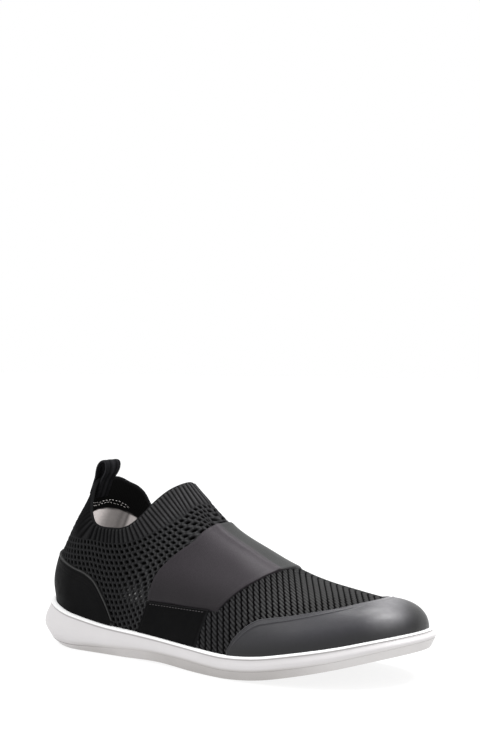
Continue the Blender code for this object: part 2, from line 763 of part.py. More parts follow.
def main():
    for old in list(bpy.data.objects):
        bpy.data.objects.remove(old, do_unlink=True)
    shoe = bpy.data.collections.new("slip_on_sneaker")
    cutters = bpy.data.collections.new("cutters")
    for collection in (shoe, cutters):
        bpy.context.scene.collection.children.link(collection)

    knit = material_of("knit", (0.020, 0.021, 0.022), 0.9)
    white = material_of("white_rubber", (0.80, 0.78, 0.79), 0.5)
    foam = material_of("footbed", (0.10, 0.10, 0.10), 0.9)
    toe_leather = material_of("toe_leather", (0.070, 0.066, 0.072), 0.45)
    black_leather = material_of("black_leather", (0.008, 0.008, 0.009), 0.5)
    satin = material_of("satin_elastic", (0.062, 0.050, 0.060), 0.55)
    webbing = material_of("webbing", (0.010, 0.010, 0.012), 0.8)

    wide = np.linspace(-1.0, 1.0, CAP_GRID[0] + 1)
    wide = wide * (1.25 - 0.25 * wide**2)      # closer together at the cap's ends
    round_heel = np.linspace(-1.0, 1.0, COUNTER_GRID[0] + 1)
    over = np.linspace(-1.0, 1.0, STRAP_GRID[0] + 1)
    flat = np.linspace(0.0, 1.0, PANEL_GRID[0] + 1)
    parts = [
        make_outsole(white, shoe, cutters),
        make_midsole(white, shoe),
        make_insole(foam, shoe),
        make_upper(knit, shoe),
        sewn_piece("toe_cap", cap_face, wide, CAP_GRID[1], LEATHER, toe_leather, shoe),
        sewn_piece("heel_counter", counter_face, round_heel, COUNTER_GRID[1], LEATHER, black_leather, shoe),
        sewn_piece("side_panel_lateral", panel_face(-1), flat, PANEL_GRID[1], PANEL, black_leather, shoe),
        sewn_piece("side_panel_medial", panel_face(1), flat, PANEL_GRID[1], PANEL, black_leather, shoe),
        sewn_piece("elastic_strap", strap_face, over, STRAP_GRID[1], ELASTIC, satin, shoe),
        make_loop(webbing, shoe),
    ]
    origin = bottom_centre(parts)
    for thing in parts + list(cutters.objects):
        thing.location = np.array(thing.location) - origin


main()
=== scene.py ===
"""Lengths are in millimetres on the last: x = 0 is the heel end of the line where the upper meets the
sole's rim, x = LAST_LENGTH its toe end, y = 0 the middle, z = 0 the floor. The outer side of this
right shoe has side = -1, the inner side has side = 1.
"""

from collections import namedtuple

import bpy
import numpy as np
from mathutils import Matrix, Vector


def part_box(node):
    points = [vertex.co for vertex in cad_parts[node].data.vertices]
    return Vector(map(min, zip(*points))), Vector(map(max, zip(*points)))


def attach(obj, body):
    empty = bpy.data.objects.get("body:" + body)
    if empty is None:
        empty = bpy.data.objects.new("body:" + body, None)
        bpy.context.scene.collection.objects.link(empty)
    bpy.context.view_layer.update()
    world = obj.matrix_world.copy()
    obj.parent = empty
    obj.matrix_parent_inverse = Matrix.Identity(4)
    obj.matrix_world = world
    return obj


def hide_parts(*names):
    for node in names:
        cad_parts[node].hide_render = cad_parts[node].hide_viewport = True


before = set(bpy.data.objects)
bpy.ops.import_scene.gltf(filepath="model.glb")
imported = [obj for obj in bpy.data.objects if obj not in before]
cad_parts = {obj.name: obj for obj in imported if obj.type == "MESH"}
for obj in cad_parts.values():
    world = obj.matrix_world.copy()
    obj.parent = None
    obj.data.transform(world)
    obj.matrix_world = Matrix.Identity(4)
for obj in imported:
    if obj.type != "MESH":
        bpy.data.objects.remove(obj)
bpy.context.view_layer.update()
MM = 0.001

# The last
# The form that every piece follows: the same sizes, tables and functions as the solids have.

LAST_LENGTH = 282.0      # along the feather line, where the upper meets the sole's rim
BALL_WIDTH = 100.0       # across the feather line at the ball
HEEL_RADIUS = 33.0       # of the heel, seen from above
TOE_REACH = 48.0         # length over which the toe rounds off, seen from above
TOE_POWER = 3.1          # of that rounding; 2 is an ellipse, more is blunter
TOE_DOME = 25.0          # length over which the toe's top falls to the rim, seen from the side
INSTEP_HEIGHT = 90.7     # crest above the ground at half the last's length
PEAK_PLACE = 110.6       # front peak's distance from the heel
HEEL_HEIGHT = 116.5      # heel tab above the ground
HEEL_LEAN = 34.4         # how far the heel tab's top lies ahead of the heel's foot
COLLAR_LOW = 85.5        # lowest point of the outer side's collar above the ground
KNIT_WALL = 2.2
RIM_HEIGHT = 28.8        # rim above the tread at the heel
STACK_HEIGHT = 14.5      # cup floor above the tread at the heel
BAND_HEIGHT = 8.0        # undercut outsole band at the waist
TREAD_THICKNESS = 2.4    # outsole away from its edge
TOE_SPRING = 21.0
ARCH_RISE = 3.0
ARCH_PLACE = (0.27, 0.54)    # shares of LAST_LENGTH between which the arch is lifted
RIM_WALL = 1.8
HEEL_FLARE = 9.5
UNDERCUT = 4.0
LAP = 0.45               # clearance between the upper and what is sewn on it
GAP = 0.3                # clearance between pieces that touch

Plan = namedtuple("Plan", "along half middle")
PLAN = [Plan(*row) for row in (
    (0.00, 0.297, 0.021), (0.10, 0.312, 0.014), (0.20, 0.320, -0.002),
    (0.30, 0.321, -0.025), (0.40, 0.343, -0.037), (0.50, 0.401, -0.033),
    (0.60, 0.466, -0.019), (0.68, 0.497, -0.001), (0.74, 0.499, 0.019),
    (0.80, 0.486, 0.040), (0.88, 0.418, 0.069), (0.95, 0.357, 0.101), (1.00, 0.306, 0.134),
)]
Side = namedtuple("Side", "along tread band floor rim flare tuck undercut")
SIDE = [Side(*row) for row in (
    (0.00, 0.175, 0.60, 1.000, 1.000, 1.04, 0.76, 1.30),
    (0.06, 0.060, 0.53, 1.000, 0.958, 0.88, 0.46, 1.00),
    (0.12, 0.000, 0.50, 1.000, 0.861, 0.69, 0.23, 0.80),
    (0.22, 0.000, 0.69, 0.970, 0.729, 0.45, 0.10, 0.90),
    (0.35, 0.000, 1.00, 0.860, 0.663, 0.35, 0.08, 1.10),
    (0.50, 0.000, 1.00, 0.720, 0.594, 0.31, 0.08, 0.90),
    (0.62, 0.000, 0.81, 0.620, 0.545, 0.30, 0.08, 0.75),
    (0.72, 0.109, 0.78, 0.585, 0.535, 0.30, 0.08, 0.75),
    (0.80, 0.318, 0.75, 0.540, 0.524, 0.32, 0.08, 0.75),
    (0.88, 0.569, 0.75, 0.480, 0.493, 0.35, 0.08, 0.75),
    (0.95, 0.829, 0.81, 0.440, 0.465, 0.42, 0.10, 0.75),
    (1.00, 1.000, 0.88, 0.435, 0.441, 0.53, 0.12, 0.75),
)]
Section = namedtuple("Section", "along crest squareness ridge")
SECTIONS = [Section(*row) for row in (
    (0.00, 1.970, 1.90, 0.000), (0.12, 1.925, 1.80, 0.000), (0.22, 1.753, 1.70, 0.000),
    (0.32, 1.507, 1.60, 0.010), (0.42, 1.208, 1.55, 0.020), (0.50, 0.985, 1.60, 0.030),
    (0.60, 0.817, 1.70, 0.040), (0.70, 0.678, 1.90, 0.060), (0.80, 0.601, 2.10, 0.080),
    (0.90, 0.555, 2.40, 0.090), (1.00, 0.560, 2.60, 0.110),
)]
Heel = namedtuple("Heel", "up forward")
HEEL = [Heel(*row) for row in (
    (0.00, 0.00), (0.13, -0.04), (0.30, 0.06), (0.50, 0.31), (0.68, 0.57), (0.85, 0.84),
    (1.00, 1.00),
)]
Collar = namedtuple("Collar", "along outer inner")
COLLAR = [Collar(*row) for row in (
    (0.00, 1.00, 1.00), (0.06, 0.80, 1.00), (0.13, 0.38, 0.88), (0.21, 0.09, 0.76),
    (0.26, 0.03, 0.62), (0.30, 0.01, 0.41), (0.40, 0.00, 0.18), (0.50, 0.01, 0.12),
    (0.60, 0.09, 0.17), (0.70, 0.28, 0.33), (0.82, 0.61, 0.62), (0.92, 0.86, 0.87),
    (1.00, 1.00, 1.00),
)]
LOW_PLACE = 0.50         # share along the collar where its heights change their reference


def smooth(at, places, values):
    """Cubic curve through (places, values), with slopes averaged from the neighbouring points."""
    at = np.asarray(at, float)
    slope = np.gradient(values, places)
    i = np.clip(np.searchsorted(places, at) - 1, 0, len(places) - 2)
    step = places[i + 1] - places[i]
    t = np.clip((at - places[i]) / step, -0.5, 1.5)
    return ((2 * t**3 - 3 * t**2 + 1) * values[i] + (t**3 - 2 * t**2 + t) * step * slope[i]
            + (3 * t**2 - 2 * t**3) * values[i + 1] + (t**3 - t**2) * step * slope[i + 1])


def read(table, name, place):
    """A table's named column at places given in its first column."""
    places, values = (np.array([getattr(row, key) for row in table])
                      for key in (table[0]._fields[0], name))
    return smooth(place, places, values)


def along(table, name, x):
    """A table's column at the distance x from the heel."""
    return read(table, name, np.asarray(x) / LAST_LENGTH)


def rounding(distance, reach, power=2.0):
    """Falls from 1 to 0 as a superellipse over the last `reach` before an end."""
    return np.sqrt(np.clip(1.0 - np.clip(1.0 - distance / reach, 0.0, 1.0) ** power, 0.0, 1.0))


def arch_lift(x, side):
    """Rise of the tread under the arch: full on the inner side (side 1), a third on the outer."""
    share = (np.asarray(x) / LAST_LENGTH - ARCH_PLACE[0]) / (ARCH_PLACE[1] - ARCH_PLACE[0])
    share = np.clip(share, 0.0, 1.0)
    return ARCH_RISE * np.sin(np.pi * share) ** 2 * (2.0 + side) / 3.0


def tread_height(x):
    return TOE_SPRING * np.maximum(along(SIDE, "tread", x), 0.0)


def band_top(x):
    return tread_height(x) + BAND_HEIGHT * along(SIDE, "band", x)


def floor_height(x):
    return tread_height(x) + STACK_HEIGHT * along(SIDE, "floor", x)


def rim_height(x):
    return tread_height(x) + RIM_HEIGHT * along(SIDE, "rim", x)


def heel_back(z):
    """Place of the heel's back at height z."""
    foot = rim_height(0.0)
    up = (z - foot) / (HEEL_HEIGHT - foot)
    return HEEL_LEAN * read(HEEL, "forward", up)


def crest_height(x):
    """Height of the section's highest line; it falls to the rim in the toe's dome."""
    foot = rim_height(LAST_LENGTH)
    top = INSTEP_HEIGHT * along(SECTIONS, "crest", x)
    return foot + (top - foot) * rounding(LAST_LENGTH - np.asarray(x), TOE_DOME)


def skin(x, z, side):
    """Point of the upper's outer face seen from the side at (x, z); side is -1 outside, 1 inside.

    The half-width is the feather line's, times the section's superellipse between rim and crest,
    times the rounding of heel and toe; the middle moves from the feather line's to the crest's.
    """
    x, z, side = np.broadcast_arrays(*(np.asarray(value, float) for value in (x, z, side)))
    half = BALL_WIDTH * along(PLAN, "half", x)
    middle = BALL_WIDTH * along(PLAN, "middle", x)
    ridge = BALL_WIDTH * along(SECTIONS, "ridge", x)
    foot = rim_height(x)
    up = np.clip((z - foot) / np.maximum(crest_height(x) - foot, 1e-6), 0.0, 1.0)
    arch = np.sqrt(1.0 - up ** along(SECTIONS, "squareness", x))
    ends = rounding(x - heel_back(np.maximum(z, rim_height(0.0))), HEEL_RADIUS)
    ends = ends * rounding(LAST_LENGTH - x, TOE_REACH, TOE_POWER)
    y = middle + (ridge - middle) * up + side * half * arch * ends
    return np.stack([x, y, z], axis=-1)


def feather(u):
    """Feather line at angle u: heel at 0, outer side, toe at pi, inner side."""
    x = LAST_LENGTH * (1.0 - np.cos(u)) / 2.0
    side = np.where(np.sin(u) >= 0.0, -1.0, 1.0)
    half = BALL_WIDTH * along(PLAN, "half", x)
    ends = rounding(x, HEEL_RADIUS) * rounding(LAST_LENGTH - x, TOE_REACH, TOE_POWER)
    return x, BALL_WIDTH * along(PLAN, "middle", x) + side * half * ends, side


def ring(u, grow, height):
    """Feather line moved outwards by `grow` in plan, at `height`."""
    x, y, _ = feather(u)
    before, after = feather(u - 1e-3), feather(u + 1e-3)
    tangent = np.stack([after[0] - before[0], after[1] - before[1]])
    tangent = tangent / np.hypot(*tangent)
    return np.stack([x + tangent[1] * grow, y - tangent[0] * grow, height + 0.0 * x], axis=-1)


def collar_line(v, side):
    """Collar's edge seen from the side: heel tab at v = 0, peak at v = 1."""
    start = heel_back(HEEL_HEIGHT)
    x = start + (PEAK_PLACE - start) * v
    shares = np.where(side < 0, read(COLLAR, "outer", v), read(COLLAR, "inner", v))
    lean = np.clip((v - LOW_PLACE) / (1.0 - LOW_PLACE), 0.0, 1.0)
    top = HEEL_HEIGHT + (crest_height(PEAK_PLACE) - HEEL_HEIGHT) * lean
    return x, COLLAR_LOW + (top - COLLAR_LOW) * shares


def crest_line(w, start, end):
    """Crest seen from the side from x = start down to x = end, w even along its length."""
    x = start - (start - end) * np.linspace(0.0, 1.0, 400) ** 2
    z = crest_height(x)
    run = np.concatenate([[0.0], np.cumsum(np.hypot(np.diff(x), np.diff(z)))])
    x = np.interp(np.asarray(w) * run[-1], run, x)
    return x, crest_height(x)


def rim_line(v, reach):
    """Rim from the heel (v = 0) to x = reach (v = 1), seen from the side."""
    return reach * v, rim_height(reach * v)


def heel_line(w, top):
    """Heel's back from the rim (w = 0) up to the height `top` (w = 1), seen from the side."""
    foot = rim_height(0.0)
    z = foot + (top - foot) * w
    return heel_back(z), z


def straight(w, near, far):
    """Straight line between two points seen from the side."""
    return [start + (end - start) * w for start, end in zip(near, far)]


def coons(v, w, bottom, top, left, right):
    """Patch between four curves seen from the side; each curve is a function giving (x, z)."""
    zero, one = np.zeros_like(v), np.ones_like(v)
    point = []
    for axis in range(2):
        low, high = bottom(v)[axis], top(v)[axis]
        near, far = left(w)[axis], right(w)[axis]
        corners = ((1 - v) * (1 - w) * bottom(zero)[axis] + v * (1 - w) * bottom(one)[axis]
                   + (1 - v) * w * top(zero)[axis] + v * w * top(one)[axis])
        point.append((1 - w) * low + w * high + (1 - v) * near + v * far - corners)
    return point


def upper_face(u, w):
    """Upper from the feather line (w = 0) to the collar (w = 1), u as in feather()."""
    side = np.where(np.sin(u) >= 0.0, -1.0, 1.0)
    x, z = coons((1.0 - np.cos(u)) / 2.0, w, lambda v: rim_line(v, LAST_LENGTH),
                 lambda v: collar_line(v, side), lambda w: heel_line(w, HEEL_HEIGHT),
                 lambda w: crest_line(w, LAST_LENGTH, PEAK_PLACE))
    return skin(x, z, side)


def sole_lines(u):
    """Offsets from the feather line of the wall's widest line, the band's edge and the tread's."""
    x = feather(u)[0]
    wall = RIM_WALL + HEEL_FLARE * along(SIDE, "flare", x)
    band = wall - HEEL_FLARE * along(SIDE, "tuck", x)
    return wall, band, band - UNDERCUT * along(SIDE, "undercut", x)


def angles(count):
    """Angles once round."""
    return np.linspace(0.0, 2.0 * np.pi, count, endpoint=False)


def shift_to_frame():
    """Place of the frame's origin on the last, from the midsole's box and its widest line."""
    low = np.array(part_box("midsole")[0]) / MM
    u = angles(72)
    wall = ring(u, sole_lines(u)[0], 0.0)
    return wall.min(axis=0) - np.array([low[0], low[1], 0.0])


SHIFT = shift_to_frame()

# Shared work
# Grids of points, lines along them, colours, materials and rows of stitches.


def arc_lengths(grid, axis):
    """Length along the grid's lines from their first point."""
    step = np.linalg.norm(np.diff(grid, axis=axis), axis=-1)
    start = np.zeros_like(np.take(step, [0], axis=axis))
    return np.concatenate([start, np.cumsum(step, axis=axis)], axis=axis)


def unit(vectors):
    """The vectors, made 1 long."""
    return vectors / np.maximum(np.linalg.norm(vectors, axis=-1, keepdims=True), 1e-9)


def normals(grid):
    """Unit normals of a grid of points, columns to the right and rows upwards seen from outside."""
    return unit(np.cross(np.gradient(grid, axis=1), np.gradient(grid, axis=0)))


def upward_normals(grid):
    """Unit normals of a grid of points, all turned so that the middle one points up."""
    out = normals(grid)
    return out * np.sign(out[len(out) // 2, len(out[0]) // 2, 2])


def pick(at, run, line):
    """Points at some lengths along a line whose own points lie at the lengths `run`."""
    return np.stack([np.interp(at, run, axis) for axis in line.T], axis=-1)


def relaxed(line, passes):
    """Line of points smoothed in several passes, its ends kept."""
    for _ in range(passes):
        line[1:-1] = (line[:-2] + 2.0 * line[1:-1] + line[2:]) / 4.0
    return line


def srgb(code, light=1.55):
    """Linear colour that a surface needs so that this much light shows it as the colour code."""
    shown = np.array([int(code[i:i + 2], 16) for i in (0, 2, 4)]) / 255.0
    return np.where(shown <= 0.04045, shown / 12.92, ((shown + 0.055) / 1.055) ** 2.4) / light


def mix(low, high, share):
    """Colour or number between two others, share from 0 to 1 at each point."""
    share = np.asarray(share)[..., None] if np.ndim(low) or np.ndim(high) else np.asarray(share)
    return low * (1.0 - share) + high * share


def ramp(value, start, end):
    """0 below start, 1 above end, smoothstep between; start may be the larger."""
    t = np.clip((value - start) / (end - start), 0.0, 1.0)
    return t * t * (3.0 - 2.0 * t)


def bell(value, centre, width):
    """1 at the centre, falling to 0 on both sides over about twice the width."""
    return np.exp(-(((value - centre) / width) ** 2))


def wave(turns):
    """From 1 to 0 and back once in each turn."""
    return 0.5 + 0.5 * np.cos(2.0 * np.pi * turns)


def painted(tint, *coats):
    """Colour under coats, each a colour code and its share at each point."""
    for code, share in coats:
        tint = mix(tint, srgb(code), share)
    return tint


def lattice(rows, columns, wrap=False):
    """Quads between the points of a grid; a wrapped grid closes round."""
    index = np.arange(rows * columns).reshape(rows, columns)
    if wrap:
        index = np.concatenate([index, index[:, :1]], axis=1)
    corners = [index[:-1, :-1], index[:-1, 1:], index[1:, 1:], index[1:, :-1]]
    return np.stack(corners, axis=-1).reshape(-1, 4)


def joined(parts):
    """One pair of points and quads made of several pairs."""
    starts = np.cumsum([0] + [len(points) for points, _ in parts])
    return (np.concatenate([points for points, _ in parts]),
            np.concatenate([quads + start for (_, quads), start in zip(parts, starts)]))


def placed(name, data):
    """Object with this data, in the scene."""
    made = bpy.data.objects.new(name, data)
    bpy.context.scene.collection.objects.link(made)
    return made


def surface(name, grid, tint, weave=None, wrap=False, turned=False):
    """Object of quads through a grid of points on the last.

    tint is the linear colour at each point, weave its position on the cloth in millimetres. A
    wrapped grid closes round, a turned one has its rows and columns seen from the other side.
    """
    quads = lattice(*grid.shape[:2], wrap)[:, ::-1 if turned else 1]
    return patchwork(name, grid.reshape(-1, 3), quads, tint, weave)


def patchwork(name, points, quads, tint, weave=None):
    """Object from points on the last and quads, with its colours as an attribute."""
    mesh = bpy.data.meshes.new(name)
    mesh.vertices.add(len(points))
    mesh.vertices.foreach_set("co", ((points - SHIFT) * MM).astype(np.float32).ravel())
    mesh.loops.add(quads.size)
    mesh.loops.foreach_set("vertex_index", np.ascontiguousarray(quads, np.int32).ravel())
    mesh.polygons.add(len(quads))
    mesh.polygons.foreach_set("loop_start", np.arange(0, quads.size, 4, dtype=np.int32))
    mesh.update(calc_edges=True)
    mesh.validate()
    mesh.shade_smooth()
    colour = np.ones((len(points), 4), np.float32)
    colour[:, :3] = np.clip(tint.reshape(-1, 3), 0.0, 1.0)
    mesh.attributes.new("tint", "FLOAT_COLOR", "POINT").data.foreach_set("color", colour.ravel())
    if weave is not None:
        corner = np.empty(len(mesh.loops), np.int32)
        mesh.loops.foreach_get("vertex_index", corner)
        flat = (weave.reshape(-1, 2) * MM)[corner]
        mesh.uv_layers.new(name="weave").data.foreach_set("uv", flat.astype(np.float32).ravel())
    return placed(name, mesh)


def dress(piece, finish, slot, *nodes):
    """Material, body, material slot (not used) and the CAD nodes that the piece stands for."""
    piece.data.materials.clear()
    piece.data.materials.append(finish)
    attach(piece, "root")
    if nodes:
        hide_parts(*nodes)


def node(tree, kind, inputs=(), **settings):
    """Shader node with its settings; inputs are pairs of a socket and its value or its source."""
    made = tree.nodes.new("ShaderNode" + kind)
    for name, value in settings.items():
        setattr(made, name, value)
    for name, value in inputs:
        if isinstance(value, bpy.types.NodeSocket):
            tree.links.new(value, made.inputs[name])
        else:
            made.inputs[name].default_value = value
    return made


def finish(name, roughness, coat=0.0, specular=0.5):
    """Principled material; returns it, its tree and its shader."""
    made = bpy.data.materials.new(name)
    made.use_nodes = True
    shader = made.node_tree.nodes["Principled BSDF"]
    for socket, value in (("Roughness", roughness), ("Coat Weight", coat), ("Coat Roughness", 0.3),
                          ("Specular IOR Level", specular)):
        shader.inputs[socket].default_value = value
    return made, made.node_tree, shader


def bumps(tree, shader, layers):
    """Stacked bumps: rows of a height function, a depth in millimetres, a strength, its settings."""
    below = []
    for height, depth, strength, *settings in layers:
        made = node(tree, "Bump", [("Height", height(tree, *settings)), ("Distance", depth * MM),
                                   ("Strength", strength), *below])
        below = [("Normal", made.outputs["Normal"])]
    tree.links.new(made.outputs["Normal"], shader.inputs["Normal"])


def grain(tree, scale, detail=3.0):
    """Height of a noise in the object's own space."""
    space = node(tree, "TexCoord").outputs["Object"]
    noise = node(tree, "TexNoise", [("Vector", space), ("Scale", scale), ("Detail", detail)])
    return noise.outputs["Fac"]


def pebbles(tree, scale):
    """Height of leather grain: cells with creases between them."""
    space = node(tree, "TexCoord").outputs["Object"]
    cells = node(tree, "TexVoronoi", [("Vector", space), ("Scale", scale)],
                 feature="DISTANCE_TO_EDGE")
    return node(tree, "MapRange", [("Value", cells.outputs["Distance"]), ("From Min", 0.0),
                                   ("From Max", 0.22)]).outputs[0]


def woven(tree, pitch, direction="X"):
    """Height of threads lying side by side across the piece's weave map, pitch in millimetres."""
    place = node(tree, "UVMap", uv_map="weave").outputs["UV"]
    return node(tree, "TexWave", [("Vector", place), ("Scale", 1.0 / (pitch * MM) / 3.1831)],
                wave_type="BANDS", bands_direction=direction).outputs["Fac"]


def wandering(tree, detail, scale, low, high):
    """Number between low and high that follows a noise."""
    return node(tree, "MapRange", [("Value", grain(tree, scale, detail)), ("From Min", 0.3),
                                   ("From Max", 0.7), ("To Min", low), ("To Max", high)]).outputs[0]


def material(name, roughness, spots, layers, patches=None, **looks):
    """Material coloured by the piece's tint times a noise, with bumps.

    spots is the noise's scale, low end and high end, patches the same for the roughness.
    """
    made, tree, shader = finish(name, roughness, **looks)
    colour = node(tree, "Attribute", attribute_name="tint").outputs["Color"]
    scaled = node(tree, "VectorMath", [(0, colour), ("Scale", wandering(tree, 4.0, *spots))],
                  operation="SCALE")
    tree.links.new(scaled.outputs[0], shader.inputs["Base Color"])
    if patches:
        tree.links.new(wandering(tree, 3.0, *patches), shader.inputs["Roughness"])
    bumps(tree, shader, layers)
    return made


def stitch_row(path, normal, pitch, length, radius):
    """Points and quads of a row of stitches, each a thread pulled into the cloth at both ends.

    path is the line that they follow, normal the cloth's outward normals along it.
    """
    run = arc_lengths(path, 0)
    around = angles(6)[:, None]
    lengthwise = np.linspace(-1.0, 1.0, 7)
    width = radius * np.sqrt(1.0 - 0.9 * lengthwise**2)[:, None, None]
    lift = radius * (0.9 - 1.3 * lengthwise**4)[:, None, None]
    stitches = []
    for centre in np.arange(pitch / 2.0, run[-1], pitch):
        at = centre + lengthwise * length / 2.0
        line = pick(at, run, path)
        out = unit(pick(at, run, normal))
        side = unit(np.cross(out, np.gradient(line, axis=0)))[:, None]
        line, out = line[:, None], out[:, None]
        points = line + out * lift + (np.cos(around) * side + np.sin(around) * out) * width
        stitches.append((points.reshape(-1, 3), lattice(7, 6, wrap=True)))
    return joined(stitches)


# Camera
# It stands ahead of the outer side, a little above the shoe, as in the photograph: 36 degrees round
# from the side and 9.2 degrees up, with the shoe low in an upright frame.

CAMERA_TARGET = np.array([140.0, 0.0, 45.0])
CAMERA_AWAY = 1010.0
PICTURE = 480.0          # the picture's width in its pixels, the measure of the next three
FOCAL = 1512.6
SHIFT_RIGHT = 16.43
SHIFT_UP = 225.08
turn, tilt = np.radians(36.0), np.radians(9.2316)
right = np.array([np.cos(turn), np.sin(turn), 0.0])
back = np.array([np.sin(turn) * np.cos(tilt), -np.cos(turn) * np.cos(tilt), np.sin(tilt)])
camera_data = bpy.data.cameras.new("camera")
camera_data.sensor_fit = "HORIZONTAL"
camera_data.lens = camera_data.sensor_width * FOCAL / PICTURE
camera_data.shift_x = SHIFT_RIGHT / PICTURE
camera_data.shift_y = SHIFT_UP / PICTURE
camera_data.clip_start = 0.05
camera = placed("camera", camera_data)
stand = (CAMERA_TARGET - SHIFT + back * CAMERA_AWAY) * MM
axes = np.eye(4)
axes[:3] = np.stack([right, np.cross(back, right), back, stand], axis=1)
camera.matrix_world = Matrix(axes.tolist())
bpy.context.scene.camera = camera

# Studio
# A white floor that goes over into a white surround, a broad soft lamp above the outer side, and
# two small ones above the shoe that put the shine on the toe cap and on the strap's ridge.

floor_mesh = bpy.data.meshes.new("floor")
floor_mesh.from_pydata([(-8, -8, 0), (8, -8, 0), (8, 8, 0), (-8, 8, 0)], [], [(0, 1, 2, 3)])
floor = placed("floor", floor_mesh)
paper, _, shader = finish("paper", 0.9, specular=0.1)
shader.inputs["Base Color"].default_value = (0.22, 0.22, 0.22, 1.0)
shader.inputs["Emission Color"].default_value = (1.0, 1.0, 1.0, 1.0)
shader.inputs["Emission Strength"].default_value = 0.82
floor.data.materials.append(paper)

world = bpy.data.worlds.new("surround")
bpy.context.scene.world = world
world.use_nodes = True
background = world.node_tree.nodes["Background"]
background.inputs["Color"].default_value = (1.0, 1.0, 1.0, 1.0)
background.inputs["Strength"].default_value = 1.0
bpy.context.scene.view_settings.view_transform = "Standard"


def lamp(name, position, size, power):
    """Square soft lamp aimed at the shoe's middle; position in metres."""
    data = bpy.data.lights.new(name, "AREA")
    data.shape = "SQUARE"
    data.size = size
    data.energy = power
    made = placed(name, data)
    made.location = position
    x, y, z = np.array([0.0, 0.0, 0.05]) - np.array(position)
    made.rotation_euler = (np.arctan2(np.hypot(x, y), -z), 0.0, np.arctan2(x, -y) + np.pi)


lamp("key_lamp", (-0.6, -0.7, 1.5), 1.0, 7.0)
lamp("toe_lamp", (0.53, 0.21, 1.16), 0.35, 9.0)
lamp("ridge_lamp", (-0.1, 0.41, 1.19), 0.35, 5.0)

# Midsole
# One moulded white rubber cup: a thin bead and a fine line round its rim, a wall that leans out to
# its widest line and turns under to the outsole's band. The upper stands inside it, glued down.

BEAD_PROUD = 0.7
BEAD_HEIGHT = 3.6
BEAD_STEP = 0.6          # height of the step under the bead
WIDEST_PLACE = 0.33      # height of the wall's widest line, as a share of the wall's
NECK_SHARE = 0.3         # share of the flare that is left under the bead
BAND_LEDGE = 4.0         # width of the outsole's upturned edge


def core_height(x, share):
    """Top of the outsole away from its edge, at a share of the width from the outer side."""
    return tread_height(x) + arch_lift(x, 2.0 * share - 1.0) + TREAD_THICKNESS


def shaded_band_tint(x):
    """Band colour with painted shade where it faces down: white at heel and toe, greyer between,
    paler at the arch's lit facet.
    """
    return painted(srgb("f2eff0"), ("d2cecc", ramp(x, 8.0, 60.0)), ("e6e2e1", bell(x, 88.0, 26.0)),
                   ("f4f1f0", ramp(x, 205.0, 262.0)))


def rounded_profile(corners, radii, steps):
    """Rows of a profile, (offset, height) each, whose inner corners are cut by quadratic curves."""
    rows = [corners[0]]
    for before, corner, after, radius in zip(corners, corners[1:], corners[2:], radii):
        near, far = (leg * np.minimum(radius / np.maximum(np.hypot(*leg), 1e-6), 0.5)
                     for leg in (before - corner, after - corner))
        for t in np.linspace(0.0, 1.0, steps):
            rows.append(corner + near * (1.0 - t) ** 2 + far * t**2)
    return np.stack(rows + [corners[-1]])


def swept(u, corners, radii, steps):
    """Grid of a rounded profile led round the feather line."""
    corners = [np.stack(np.broadcast_arrays(*corner, u)[:2]) for corner in corners]
    return np.stack([ring(u, offset, height)
                     for offset, height in rounded_profile(corners, radii, steps)])


def make_midsole():
    u = angles(560)
    x, _, side = feather(u)
    wall, band, _ = sole_lines(u)
    rim, edge = rim_height(x), band_top(x)
    neck = RIM_WALL + (wall - RIM_WALL) * NECK_SHARE + 0.35
    small = np.clip((rim - edge) / 10.5, 0.3, 1.0)
    bead = rim - 0.38 * BEAD_HEIGHT * small
    line = bead - BEAD_STEP * small
    corners = [
        (band - BAND_LEDGE, core_height(x, (side + 1.0) / 2.0) + GAP),
        (band, edge),
        (wall, edge + (rim - edge) * WIDEST_PLACE),
        (neck + 0.34 * small, line - 1.5 * small),
        (neck + 0.06 * small, line - 1.2 * small),
        (neck + 0.14 * small, line - 0.9 * small),
        (neck - 0.05 * small, line),
        (neck + 0.45, bead),
        (RIM_WALL + BEAD_PROUD, rim),
        (GAP, rim),
        (GAP, floor_height(x)),
    ]
    grid = swept(u, corners, (0.6, 6.0, 0.15, 0.15, 0.15, 0.3, 0.4, 1.0, 0.3), 5)
    rise = np.clip((grid[..., 2] - edge) / np.maximum(rim - edge, 1.0), 0.0, 1.0)
    under_rim = (rim - grid[..., 2]) / small
    # Painted light and shade: the wall greyer low down where it turns under, a grey line as painted
    # shade in the groove under the bead, and the bead's top painted near white as painted light.
    tint = painted(shaded_band_tint(grid[..., 0]), ("f7f4f5", ramp(rise, 0.0, 0.22)),
                   ("bdb9b9", bell(under_rim, 2.2, 0.45)))
    tint = mix(tint, np.full(3, 0.92), ramp(under_rim, 1.7, 1.2))
    return surface("midsole_cup", grid, tint, wrap=True)


white = material("white_rubber", 0.5, (60.0, 0.96, 1.0),
                 [(grain, 0.05, 0.4, 900.0), (grain, 0.25, 0.2, 60.0)], specular=0.3)
dress(make_midsole(), white, "white_foam", "midsole")

# Outsole
# Moulded rubber of the same white, a little greyer, with painted shade along its band and in its
# grooves:
# an undercut band round its side and a tread with flex grooves across it and fine ribs between them.
# It is moulded on the midsole.

GROOVE_DEPTH = 1.2
GROOVE_WIDTH = 2.4
GROOVES = (0.13, 0.19, 0.56, 0.62, 0.68, 0.74, 0.80)


def make_band():
    """Band round the sole from the tread's edge up to the midsole, its lower corner rounded."""
    u = angles(480)
    x, _, side = feather(u)
    _, band, tread = sole_lines(u)
    low = tread_height(x) + arch_lift(x, side)
    high = band_top(x) - GAP
    corners = [(tread - 4.0, low), (tread, low), (band, high), (band - BAND_LEDGE, high + 0.4)]
    grid = swept(u, corners, (1.2, 0.4), 7)
    return surface("outsole_band", grid, shaded_band_tint(grid[..., 0]), wrap=True)


